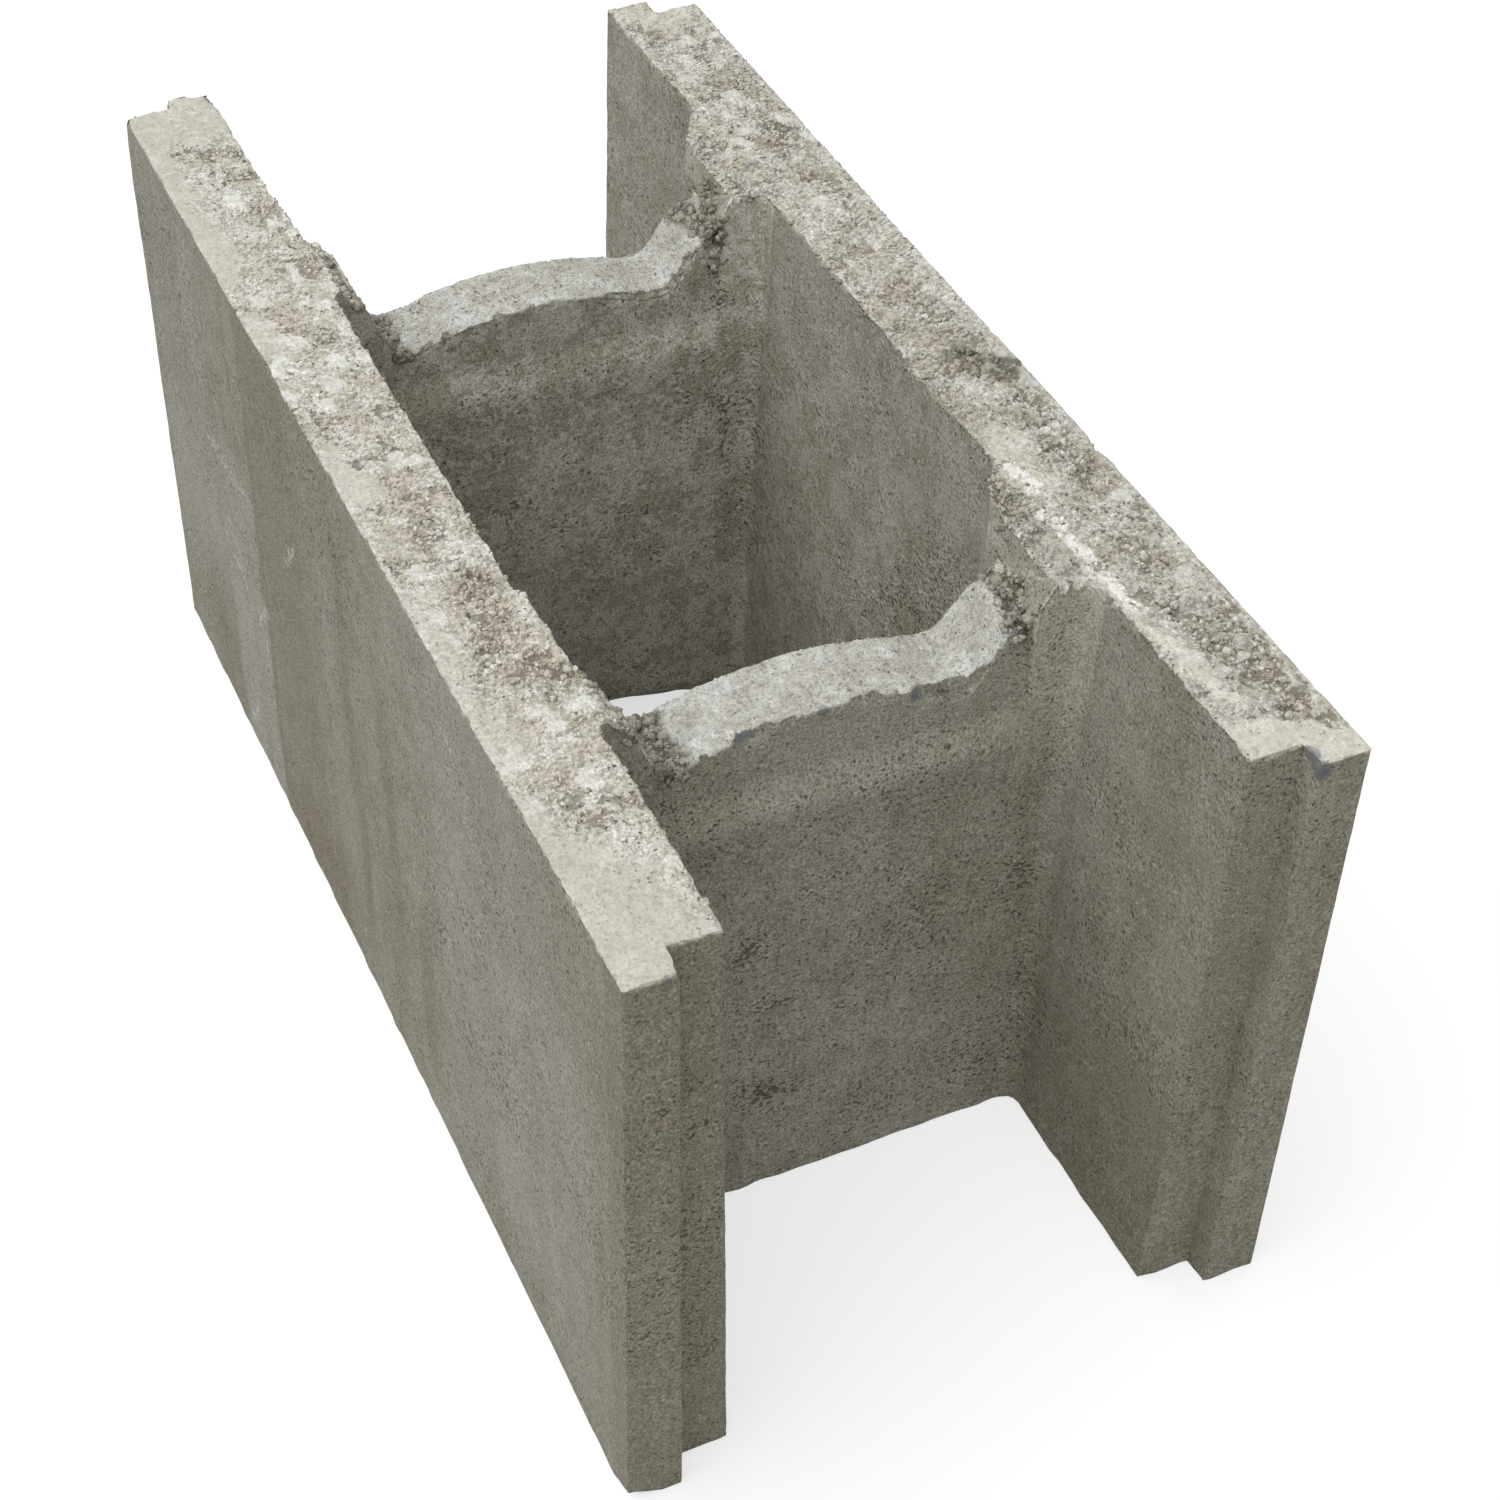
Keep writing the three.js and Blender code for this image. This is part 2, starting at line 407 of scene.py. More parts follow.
class Patches:
    """Grids of points with their faces, and for each point the rim point that it follows."""

    def __init__(self):
        self.points, self.rims, self.quads, self.tris, self.count = [], [], [], [], 0

    def add(self, points, rims):
        """Keeps a block of points of any shape and returns their numbers in that shape."""
        numbers = self.count + np.arange(points[..., 0].size).reshape(points.shape[:-1])
        self.points.append(points.reshape(-1, 3))
        self.rims.append(rims.reshape(-1, 3))
        self.count += numbers.size
        return numbers

    def sheet(self, numbers, flip=False):
        """Quads between neighbouring rows and columns; they face along row x column."""
        corners = [numbers[:-1, :-1], numbers[1:, :-1], numbers[1:, 1:], numbers[:-1, 1:]]
        quads = np.stack([c.ravel() for c in corners], axis=1)
        self.quads.append(quads[:, ::-1] if flip else quads)

    def halving(self, coarse, fine):
        """Three triangles between each coarse step and the two fine steps above it."""
        a, b = coarse[:-1], coarse[1:]
        left, middle, right = fine[:-1:2], fine[1::2], fine[2::2]
        for corners in ((a, b, middle), (a, middle, left), (b, right, middle)):
            self.tris.append(np.stack(corners, axis=1))


def raised(plan, height):
    """Plan points given a height, which may differ from point to point."""
    return np.concatenate([plan, np.broadcast_to(height, plan.shape[:-1])[..., None]], axis=-1)


def nearest_of(points, candidates):
    """Of several candidate points for each point, the one that lies nearest."""
    stack = np.stack([np.broadcast_to(c, points.shape) for c in candidates])
    pick = np.linalg.norm(stack - points, axis=-1).argmin(axis=0)
    return np.take_along_axis(stack, pick[None, ..., None], axis=0)[0]


def lower_rows():
    """Heights of the coarse rows: close at the foot, wide over the plain wall, and close
    again over the slope of the relief."""
    return np.concatenate([
        [0, 1.6, 4],
        np.linspace(8, 178, 38),
        np.linspace(181, RELIEF_FOOT, 2),
        np.linspace(RELIEF_FOOT, RELIEF_TOP, 5)[1:],
        [201, COARSE_TOP],
    ])


def upper_rows():
    """Heights of the fine rows up to the shelf, and from the shelf up to the wall's top."""
    under = COARSE_TOP + (SHELF - COARSE_TOP) * (1 - (1 - even(UNDER_SHELF)) ** 1.2)
    over = SHELF + (HEIGHT - SHELF) * (1 - (1 - even(OVER_SHELF)) ** 1.35)
    return under, over


def curtain(patches, foot, top, rim=None, side=0, shelf=None):
    """An upright face under a run of columns. A point is on the straight line from its
    column's foot to its top in plan. Columns under a web's rim share the wall's coarse rows
    and squeeze the fine ones between those and the rim; side moves them into the relief."""
    if rim is None:
        rim = np.full(len(top), HEIGHT)
    if shelf is None:
        shelf = rim if side else np.full(len(top), SHELF)
    whole = np.full(len(top), HEIGHT) if side else rim
    low = lower_rows()
    under, over = upper_rows()
    squeeze = (shelf - COARSE_TOP) / (SHELF - COARSE_TOP)
    high = COARSE_TOP + (under - COARSE_TOP) * squeeze[:, None]
    if side == 0:
        share = (over[1:] - SHELF) / (HEIGHT - SHELF)
        high = np.concatenate([high, shelf[:, None] + share * (rim - shelf)[:, None]], axis=1)

    def placed(columns, heights):
        share = heights[..., None] / whole[columns][:, None, None]
        plan = foot[columns][:, None] * (1 - share) + top[columns][:, None] * share
        plan[..., 0] -= side * relief(plan[..., 1], heights)
        points = np.concatenate([plan, heights[..., None]], axis=-1)
        crown = np.concatenate([top[columns], rim[columns][:, None]], axis=1)
        crown[:, 0] -= side * relief(crown[:, 1], crown[:, 2])
        return points, crown

    every = np.arange(len(rim))
    points, crown = placed(every, high)
    fine = patches.add(points, np.broadcast_to(crown[:, None], points.shape))
    patches.sheet(fine)
    columns = every[::2]
    points, _ = placed(columns, np.broadcast_to(low[:-1], (len(columns), len(low) - 1)))
    coarse = patches.add(points, np.broadcast_to(points[:, :1], points.shape))
    patches.sheet(coarse)
    patches.halving(coarse[:, -1], fine[:, 0])


def casting():
    """The whole block as patches, seen from the outside: strips and webs on top, their
    coarse copies on the underside, the piers' faces over the webs, and the curtains."""
    patches = Patches()
    top, foot = wall_strip(HEIGHT), wall_strip(0)
    # The columns from which and up to which a wall's inner edge runs over a web.
    starts = END_RUN + np.cumsum((0,) + BACK_RUNS + FRONT_RUNS)
    far, past_far, near, past_near = starts[[3, 4, 9, 10]]

    def lay(grid, sides, flip=False):
        """Adds a sheet whose points follow the nearest points of its sides."""
        patches.sheet(patches.add(grid, nearest_of(grid, sides)), flip)

    for turn in (1, -1):
        plan = turned(top, turn)
        grid = raised(plan, wall_top(plan[..., 0], plan[..., 1]))
        lay(grid, [grid[:, :1], grid[:, -1:], grid[:1], grid[-1:]], turn > 0)
        grid = raised(turned(foot, turn)[::2, ::2], 0)
        lay(grid, [grid[:, :1], grid[:, -1:], grid[:1], grid[-1:]], turn < 0)
        for start in (far, near):
            edge = plan[start:start + OVER + 1, -1]
            shelf = shelf_height(*edge.T)
            share = (upper_rows()[1] - SHELF) / (HEIGHT - SHELF)
            heights = shelf[:, None] + share * (wall_top(*edge.T) - shelf)[:, None]
            grid = raised(np.repeat(edge[:, None], OVER_SHELF + 1, axis=1), heights)
            lay(grid, [grid[:, -1:]], turn < 0)

    webs = []
    share = spread(OVER)[None, :, None]
    for face, drop in zip(WEB_FACES, WEB_DROPS):
        rims, feet = [], []
        for side, edge in zip((-1, 1), web_lines(face)):
            rim = web_height(*edge.T, face, drop)
            for end in (slice(0, 1), slice(-1, None)):
                rim[end] = shelf_height(*edge[end].T)
            webs.append((edge[::-side], rim[::-side], side))
            rims.append(raised(edge, rim)[:, None])
            rims[-1][..., 0] -= side * relief(rims[-1][..., 1], rims[-1][..., 2])
            feet.append(raised(edge, 0)[:, None])
        grid = rims[0] * (1 - share) + rims[1] * share
        within = grid[1:-1, 1:-1]
        within[..., 2] = web_height(within[..., 0], within[..., 1], face, drop)
        for side in (0, -1):
            grid[side, :, 2] = shelf_height(grid[side, :, 0], grid[side, :, 1])
        lay(grid, [grid[:, :1], grid[:, -1:]])
        low = (feet[0] * (1 - share) + feet[1] * share)[::2, ::2]
        lay(low, [low[:, :1], low[:, -1:]], True)

    for turn in (1, -1):
        for a, b in ((0, far), (past_far, near), (past_near, len(top) - 1)):
            low, high = (turned(line[a:b + 1, -1], turn)[::turn] for line in (foot, top))
            curtain(patches, low, high, wall_top(*high.T), 0, shelf_height(*high.T))
        for line, step in ((np.s_[:, 0], -turn), (np.s_[0], turn), (np.s_[-1], -turn)):
            curtain(patches, turned(foot[line], turn)[::step], turned(top[line], turn)[::step])
    for edge, rim, side in webs:
        curtain(patches, edge, edge, rim, side)
    return patches


# ---- Welding ----

def welded(patches):
    """Points of all patches that share a place become one. Returns the places, the number
    of the rim point that each follows, the quads and the triangles."""
    def codes(places):
        """A whole number for each place: its steps along the axes, one after another."""
        steps = np.round(places * WELDS_PER_MM).astype(np.int64) + WELD_SPAN // 2
        return steps @ (WELD_SPAN ** 2, WELD_SPAN, 1)

    points, wanted = np.concatenate(patches.points), codes(np.concatenate(patches.rims))
    unique, kept, number = np.unique(codes(points), return_index=True, return_inverse=True)
    rim = np.clip(np.searchsorted(unique, wanted), 0, len(unique) - 1)
    lost = unique[rim] != wanted
    if lost.any():
        raise RuntimeError(f"{lost.sum()} points follow a rim that isn't in the surface")
    quads, tris = (number[np.concatenate(faces)] for faces in (patches.quads, patches.tris))
    return points[kept], rim[kept], quads, tris


def triangles(quads, tris):
    """All faces as triangles, each quad cut in two."""
    return np.concatenate([quads[:, :3], quads[:, [0, 2, 3]], tris])


def corner_normals(places, corners):
    """Unit normals at the points, from the area-weighted normals of the triangles there."""
    a, b, c = places[corners].transpose(1, 0, 2)
    cross = np.cross(b - a, c - a)
    total = np.zeros_like(places)
    for corner in range(3):
        np.add.at(total, corners[:, corner], cross)
    return total / np.maximum(np.linalg.norm(total, axis=1), 1e-9)[:, None]


# ---- Where the surface differs ----
# Each table has chains of stops in millimetres, a chain's reach and, if it isn't 1, its
# strength. Stops with two numbers are places in plan.

# Crumbled paste, where the fill was torn.
CRUMBLED = (
    (((116, 65, 235), (126, 67, 235)), 7.2),
    (((126, 67, 235), (136, 64, 233), (145, 61.5, 232)), 5.6),
    (((-124, 65, 235), (-112, 68, 235)), 10.5),
    (((-112, 68, 235), (-99, 66, 233)), 8),
    (((-98, 65, 230), (-97.5, 64.5, 220)), 4),
    (((109, -59, 216), (126, -59, 217), (146, -57, 217)), 7),
    (((122, -77, 243), (134, -77, 244), (146, -72, 238)), 4),
    (((-128, -77, 244), (-116, -77, 244), (-99, -74, 242)), 4),
    (((-124, -60, 215), (-101, -59, 215)), 5.5),
    (((108, 74, 243), (122, 76, 248), (137, 75, 247)), 2.5),
    (((23, 104, 250), (36, 110, 250)), 9),
    (((-249, -97, 250), (-249, -87, 250)), 2.5),
    (((134, 33, 227), (146, 35, 226)), 2.2),
    (((-108, 37, 222), (-94, 39, 221)), 3),
    (((147, -47, 216), (147, -43, 217)), 2.5),
)
# A smooth cream skin of cement on the walls' tops.
CREAMED = (
    (((-245, -112), (-236, -92)), 22),
    (((-235, -116), (-125, -116)), 7),
    (((-89, -117), (-67, -112)), 6, 0.8),
    (((-8, -116), (18, -114)), 6, 0.9),
    (((81, -116), (119, -117), (150, -118)), 8, 0.6),
    (((114, 85), (132, 87), (156, 87)), 1.6, 1.2),
    (((156, 87), (197, 90), (215, 91)), 4, 0.8),
    (((234, 92), (246, 112)), 12, 0.9),
    (((-246, 90), (-238, 106)), 13, 0.6),
    (((-212, 87), (-150, 80)), 5, 0.4),
    (((70, 94), (97, 92)), 7, 0.6),
)
# Rough clods in the walls' tops.
CLODDED = (
    (((173, 107), (198, 110)), 10),
    (((210, 109), (230, 111)), 7),
    (((58, 110), (86, 110), (104, 112)), 8),
    (((138, 104), (152, 107)), 5),
    (((-20, 104), (6, 108)), 7),
    (((-150, 106), (-128, 108)), 6),
    (((86, 81), (100, 80)), 4),
    (((22, 85), (38, 86)), 5),
    (((73, -96), (109, -98), (124, -90)), 9),
)
# Small voids in the faces.
HONEYCOMB = (
    (((148, 74, 226), (149, 76, 120), (149, 79, 20)), 9, 0.8),
    (((-97, 74, 190), (-97, 78, 20)), 24, 0.6),
    (((148, 60, 90), (148, 70, 30)), 22, 0.6),
    (((148, -24, 50), (148, 10, 22)), 16, 0.6),
    (((148, -31, 137), (148, -26, 118)), 7, 0.8),
    (((250, -112, 60), (250, -108, 190)), 12, 0.4),
    (((250, 112, 40), (250, 106, 20)), 8, 0.7),
    (((90, 79, 180), (20, 78, 110)), 38, 0.85),
    (((-40, 78, 60), (70, 79, 50)), 30, 0.5),
    (((110, -120, 115), (240, -120, 100)), 50, 0.4),
    (((-240, -120, 200), (-160, -120, 195)), 22, 0.4),
)
# Ragged tears in the faces.
TORN = (
    (((146, 62, 234), (145, 65, 214), (147.5, 66, 200)), 3, 0.9),
    (((147.5, 68, 160), (147.5, 70.4, 128), (147.5, 73, 90)), 3, 0.45),
    (((124, 72.5, 236.5), (137, 66.5, 235), (147, 61.5, 233)), 2.6),
    (((-97.5, 67, 212), (-97.5, 67, 200)), 3.4, 0.9),
    (((-97.5, 69.5, 158), (-97.5, 70.5, 122)), 3, 0.5),
    (((240, -97, 164), (240, -91, 170), (240, -84, 168)), 4.6),
    (((240, -84, 60), (240, -92, 48)), 4),
    (((147.5, -28, 98), (147.5, -14, 95)), 4.4),
    (((147.5, -26, 51), (147.5, -12, 47)), 4.4),
    (((147.5, -37, 122), (147.5, -31, 129)), 4.4),
    (((147.5, 2, 81), (147.5, 6, 80)), 3.6),
    (((147.5, 64, 127), (147.5, 78, 120)), 4.8),
    (((-97.5, -38, 136), (-97.5, -9, 129)), 4.4),
    (((-97.5, 27, 116), (-97.5, 39, 114)), 4.6),
    (((-97.5, -4, 117), (-97.5, 3, 116)), 4.6),
    (((-97.5, -54, 175), (-97.5, -45, 172)), 4),
    (((-97.5, -30, 158), (-97.5, -16, 157)), 3.4),
    (((-97.5, 4, 146), (-97.5, 17, 135)), 3.4),
    (((-97.5, -60, 187), (-97.5, 10, 188), (-97.5, 52, 190)), 3, 0.55),
)
# Pale scuffs on the -Y face.
SCUFFED = (
    (((-170, -120, 146), (-140, -120, 149), (-107, -120, 156)), 4.6, 0.9),
    (((-66, -120, 159), (-55, -120, 175)), 4.6, 0.9),
    (((-157, -120, 104), (-135, -120, 96)), 5, 0.8),
    (((-120, -120, 92), (-106, -120, 104)), 5, 0.9),
    (((-152, -120, 12), (-140, -120, 28)), 6, 0.8),
    (((-111, -120, 15), (-111, -120, 90)), 3, 0.75),
    (((-150, -120, 120), (-140, -120, 104)), 4, 0.8),
    (((103, -120, 220), (115, -120, 222)), 4, 0.7),
)
# Lime on the walls' tops.
WHITENED = (
    (((111, 85.5), (120, 87.5), (134, 87.3), (150, 88.7), (166, 88.7)), 2.5, 1.3),
    (((166, 88.7), (190, 87.7), (210, 87)), 2.4, 0.45),
    (((87, 88.5), (100, 90.5)), 2.8),
    (((-236, -99), (-206, -96)), 9, 0.4),
    (((-70, -113), (-40, -110)), 6, 0.42),
)
# Where a wall's top slumps towards its inner edge, over a torn shoulder.
SLUMPED = (
    (((92, 83), (113, 80), (135, 76), (149, 77)), 8),
    (((-152, 82), (-132, 78), (-112, 75), (-97, 77)), 6),
)
# Stretches of a wall's top darkened as painted shade, where it slumps towards its inner edge.
PAINTED_SLUMP_SHADE = (
    (((100, 79), (122, 80), (141, 80)), 5),
    (((-150, 80), (-120, 78), (-100, 79)), 4, 0.7),
)
# Chipped rims: centre, reach and depth.
CHIPPED = (
    ((89, 120, 250), 7, 2.2),
    ((250, -120, 0), 14, 5),
    ((250, -102, 250), 5, 2.5),
    ((240, -102, 250), 6, 1.5),
    ((-250, -102, 250), 6, 2.5),
    ((250, 102, 250), 5, 2),
    ((-60, -120, 250), 7, 1.2),
    ((-240, -120, 250), 9, 2.6),
    ((-248, -84.5, 250), 16, 3.2),
    ((-250, -92, 250), 6, 1.5),
    ((147.5, 9, 222), 8, 3.5),
    ((-97.5, 20, 0), 85, 16),
)
# Flakes of slate: centre, size and strength.
SLATES = (
    ((143.5, 61, 230.5), 3, 0.8), ((144, -34, 221), 3.4, 0.8), ((144, -7, 222), 2.6, 0.7),
    ((144, 26, 217.5), 3, 0.9), ((-117, 88, 249.5), 3.2, 0.8), ((250, 103, 246.5), 4.2, 1),
    ((244.5, 101.5, 249.5), 3.8, 1), ((250, -106.5, 248.5), 2, 0.9), ((112.5, -57, 215), 3.2, 0.9),
)
# Upright bands on the -Y face: the four places along x between which each rises and falls,
# its foot and head, and its strength.
STAINS = (
    (-204, -190, -166, -156, -20, 85, 0.9),
    (-109, -106, -50, -28, -20, 270, 0.8),
    (-109, -107, -104, -100, 0, 215, 1.3),
    (-96, -80, -36, -6, -20, 42, 1.3),
    (-3, 0, 6, 10, 20, 215, 0.9),
    (32, 37, 44, 49, 55, 190, 0.9),
    (62, 66, 74, 80, 25, 105, 0.8),
)
WASHES = (
    (-250, -238, -166, -158, 60, 270, 0.45),
    (-162, -157, -112, -109, -20, 155, 0.75),
    (-30, -22, -12, -4, 40, 205, 0.4),
    (78, 100, 180, 225, 20, 270, 0.6),
)
# A hole in a torn pier's face: its centre, radius and depth.
HOLE = (146.5, -76.4, 241.5)
HOLE_RADIUS = 3.8
HOLE_DEPTH = 5.5


def to_chain(points, stops):
    """Each point's distance to the nearest of the straight lines between the stops."""
    stops = [np.pad(np.array(stop, float), (0, 3 - len(stop))) for stop in stops]
    nearest = np.full(len(points), np.inf)
    for a, b in zip(stops, stops[1:]):
        share = np.clip((points - a) @ (b - a) / ((b - a) @ (b - a)), 0, 1)
        away = np.linalg.norm(points - a - share[:, None] * (b - a), axis=1)
        nearest = np.minimum(nearest, away)
    return nearest


def strongest(points, table, profile):
    """The greatest, over a table's chains, of a profile of the distance to a chain and the
    chain's reach, times the chain's strength."""
    found = np.zeros(len(points))
    for stops, reach, *strength in table:
        near = profile(to_chain(points, stops), reach)
        found = np.maximum(found, near * (strength[0] if strength else 1))
    return found


def crumbled(points):
    """How far the paste has crumbled: full inside a wandering distance from the lines where
    the fill was torn, and easing out over 3 mm."""
    wander = 1 + 0.35 * noise(points, 7, 41)
    return strongest(points, CRUMBLED, lambda away, reach: ramp(reach * wander - away, 0, 3))


def honeycombed(points):
    """How far the face is full of small voids."""
    wander = 1 + 0.5 * noise(points, 16, 42)
    found = strongest(points, HONEYCOMB, lambda away, reach: ramp(reach * wander - away, -2, 10))
    return np.maximum(found, 0.3 * ramp(noise(points, 45, 92), 0, 0.5))


def along(points, table, seed):
    """How near a point is to a table's chains: 1 on one and 0 at its reach."""
    moved = points + 1.2 * drift(points, 5, seed)
    return strongest(moved, table, lambda away, reach: np.clip(1 - away / reach, 0, 1))


def in_plan(points, table):
    """How far a table's chains cover a point: 1 on one and 0 past its reach."""
    return strongest(points, table, lambda away, reach: ramp(reach - away, -1.5, 2.5))


def banded(points, table):
    """How far an upright band colours the -Y face."""
    x = points[:, 0] + 1.8 * noise(points, 40, 44)
    z = points[:, 2] + 12 * noise(points, 25, 49)
    found = np.zeros(len(points))
    for rise, full, fall, gone, foot, head, strength in table:
        height = band(z, foot - 14, foot + 14, head - 14, head + 14)
        found = np.maximum(found, strength * band(x, rise, full, fall, gone) * height)
    return found * (points[:, 1] < 0.5 - HALF_WIDTH)


def painted_foot_shade(points, normals):
    """Painted shade: how far the foot of the +Y wall's inner face at the near end is darker and
    browner, where it lies in shade near the floor.
    """
    x, y, z = points.T
    inner = (x > WEB_FACES[0]) & (y > PIER) & (y < 92) & (normals[:, 1] < -0.5)
    return 0.9 * (1 - ramp(z, 20, 130)) * inner


def slated(points):
    """A flake of slate's strength inside it, half of that at its edge, and falling past it."""
    return np.max([
        strength * np.clip(1.5 - np.linalg.norm(points - centre, axis=1) / size, 0, 1)
        for centre, size, strength in SLATES
    ], axis=0)


def flat_wander(points, amount, size, seed):
    """The points laid level, with noise of a size pushing them about in plan."""
    flat = points * (1, 1, 0)
    push = [noise(flat, size, seed + k) for k in range(2)]
    return flat + amount * np.stack([*push, np.zeros(len(points))], axis=1)


def laitance(points):
    """How far a smooth skin of cream cement covers a wall's top: at the ends of both walls,
    and in strips along their edges."""
    flat = flat_wander(points, 5, 9, 43)
    cream = in_plan(flat, CREAMED)
    near_end = ramp(flat[:, 0] - 1.94 * (flat[:, 1] + HALF_WIDTH), 148, 176)
    return np.clip(np.where(points[:, 1] < 0, np.maximum(cream, near_end), cream), 0, 1)


def crusted(points):
    """The walls' tops, struck off under a plate: clods of paste with hollows between them,
    some pressed flat and pale. The depth under the plate grows with the distance from the
    nearest of the clods' seeds, at two sizes, and seams part some of the clods. Returns the
    depth, how far each point is in a hollow, on a pressed clod and in a seam."""
    flat = flat_wander(points, 2.2, 5, 45)
    clod, next_clod, kind = cells(flat * (0.85, 1.15, 1), 9.5, 47)
    lump, next_lump, level = cells(flat, 4.6, 48)
    clodded, slump = in_plan(flat, CLODDED), in_plan(flat, SLUMPED)
    right, inset = points[:, 1] > 0, HALF_WIDTH - np.abs(points[:, 1])
    rough = 0.22 + 0.34 * ramp(noise(flat, 30, 50), -0.3, 0.5) + 0.12 * right + 0.7 * clodded
    rough = rough * (0.15 + 0.85 * ramp(inset, 1, 8))
    stone = (1 - ramp(clod, 0.34, 0.46)) * (kind < np.where(right, 0.26, 0.42)) * (1 - clodded)
    hollow = np.maximum(fractal(flat, 11, 51) - 0.2, 0)
    depth = 1.9 * ramp(clod, 0.3, 0.8) + 0.8 * ramp(lump, 0.2, 0.75) + 0.5 * level + 1.2 * hollow
    seam = 1 - np.minimum(ramp(next_clod - clod, 0.02, 0.12), ramp(next_lump - lump, 0.02, 0.2))
    parted = np.clip(ramp(noise(flat, 8, 52), 0.05, 0.65) + 0.8 * clodded, 0, 1)
    seam = seam * (1 - stone) * parted * ramp(inset, 0.5, 3)
    depth = 0.25 + (1 - stone) * rough * depth + 2.4 * slump + 0.5 * seam
    # The slumped band also takes the hollows' darker colour, as painted shade.
    gap = np.maximum(ramp(depth - 2.4 * slump - 0.5 * seam, 0.7, 1.7), 0.45 * slump)
    return depth, gap, stone * (1 - slump), seam


def painted_light_and_bloom_in_cell(points):
    """How far the faces inside the cell between the webs, and the +Y wall's inner face beyond the
    far one, are paled: by painted light, since the cell lies in shade, and by patches of lime
    bloom."""
    x, y, _ = points.T
    inside = ramp(x, WEB_FACES[1] - 6, WEB_FACES[1] - 5) * ramp(-x, -112.5, -110)
    inside = inside * np.where(x < WEB_FACES[1] + 3, 1, 0.5)
    beyond = 0.45 * ramp(-x, 118, 150) * (y > 0)
    return ramp(-np.abs(y), -85, -84.5) * np.maximum(inside, beyond)


def upright_edges(points):
    """For points of the walls' ends, how far the wear on the nearest upright edge moves
    them. Edges stand at the corners of the stepped outline."""
    x, y, z = points.T
    ahead = np.where(x > 0, 1, -1)
    side = np.where(y > 0, 1, -1)
    short = HALF_LENGTH - STEP_DEPTH
    outer = np.where(x > 0, HALF_LENGTH, short)
    inner = np.where(x > 0, short, HALF_LENGTH)
    wear = 0.8 + 0.25 * noise(points, 5, 55) + 0.9 * np.maximum(noise(points, 19, 56) - 0.6, 0)
    wear = np.maximum(wear, 0.4) * np.where((x > 0) & (y > HALF_WIDTH - 2), 0.4, 1)
    shift = np.zeros_like(points)
    edges = (outer, HALF_WIDTH, 1), (HALF_LENGTH, step_line(z), -ahead), (inner, wall_face(z), -1)
    for edge_x, edge_y, turn in edges:
        away = np.abs(np.abs(x) - edge_x) + np.abs(np.abs(y) - edge_y)
        cut = np.maximum(wear - away, 0) / 2
        shift[:, 0] -= ahead * cut
        shift[:, 1] -= side * turn * cut
    return shift


def leaning(points):
    """How far the outer half of the -Y wall's end at -X stands past the line of its step:
    3 mm at the top and 6 mm lower down, squeezed evenly over the step's depth."""
    x, y, z = points.T
    outer = ramp(-y - step_line(z), -1, 0)
    reach = np.clip((-x - 222) / 18, 0, 1) * np.clip((x + HALF_LENGTH) / STEP_DEPTH, 0, 1)
    return (6 - 3 * ramp(z, 205, HEIGHT)) * reach * outer


def on_facet(points, past=0):
    """How far a point is on the slanted facet over a web's shoulder at +Y, once it is past
    the facet's foot by some millimetres."""
    x, y, z = points.T
    found = np.zeros(len(points))
    for face in WEB_FACES:
        over = (x > face - WEB_THICKNESS - FILLET) & (x < face + 0.5) & (y > 0) & (z > 225)
        beyond = np.abs(y + PRESS_OFFSET) - facet_foot(x, face) - past
        found = np.maximum(found, ramp(beyond, -1, 1) * over)
    return found


def paled(points, normals):
    """Painted light and shade beside a torn shoulder at +Y: the facet a little darker as painted
    shade, and the pier's face above the web and, lower down, the pier's square side lighter, as
    painted light where they lie in shade; a painted highlight on the slope under a web's top, a
    darker band under that slope, and paler paste at the near web's foot."""
    x, y, z = points.T
    found = -0.1 * on_facet(points)
    for face, slope, foot in zip(WEB_FACES, (0.3, 0.38), (0.28, 0)):
        above = (x > face - WEB_THICKNESS - PIER_BEHIND - 1) & (x < face + 0.5)
        above &= (np.abs(y - PIER) < 1.5) & (normals[:, 1] < -0.6)
        web = (np.abs(x - face) < 4) & (np.abs(y) < 66) & (normals[:, 0] > 0.5)
        below = (x > face - 1) & (x < face + 9) & (y > PIER - 9) & (y < 92)
        # A painted highlight on the slope under a web's top, and paler at the near web's foot; the
        # line below adds a darker band under the slope.
        stripes = slope * band(z, 183, 189, 196, 203) + foot * (1 - ramp(z, 20, 120))
        found = np.where(web, stripes - 0.22 * band(z, 150, 180, 181, 186), found)
        # The pier's face above the web and its square side lightened, as painted light where they
        # lie in shade.
        found = np.where(above, 0.85 * ramp(z, 228, 236), found)
        found = np.where(below, 1.1 * ramp(z, 150, 232), found)
    return found


def reliefs(shares, drifts, grain):
    """What the material's relief needs of the other shares: how high its specks, sand and
    bedded bits stand, in millimetres, how readily pores open and how whole the paste is."""
    names = "crust web_top cream crumb stone honeycomb torn".split()
    crust, web_top, cream, crumb, stone, comb, torn = (shares[name] for name in names)
    rough = crust * (1 - 0.8 * cream) * (1 - 0.85 * stone) + crumb + 0.5 * comb
    loose = 0.03 * crust * (1 - cream) * (1 - grain) + 0.095 * comb + 0.05 * crumb + 0.17 * torn
    return {
        "drifts": drifts, "pitted": 0.3 * (drifts - 0.05) + loose,
        "whole": (1 - 0.9 * stone) * (1 - 0.7 * cream),
        "specked": 0.25 + 0.2 * (crust + web_top),
        "sanded": 0.28 + 0.9 * rough, "bedded": 0.8 * rough * (1 - grain),
    }


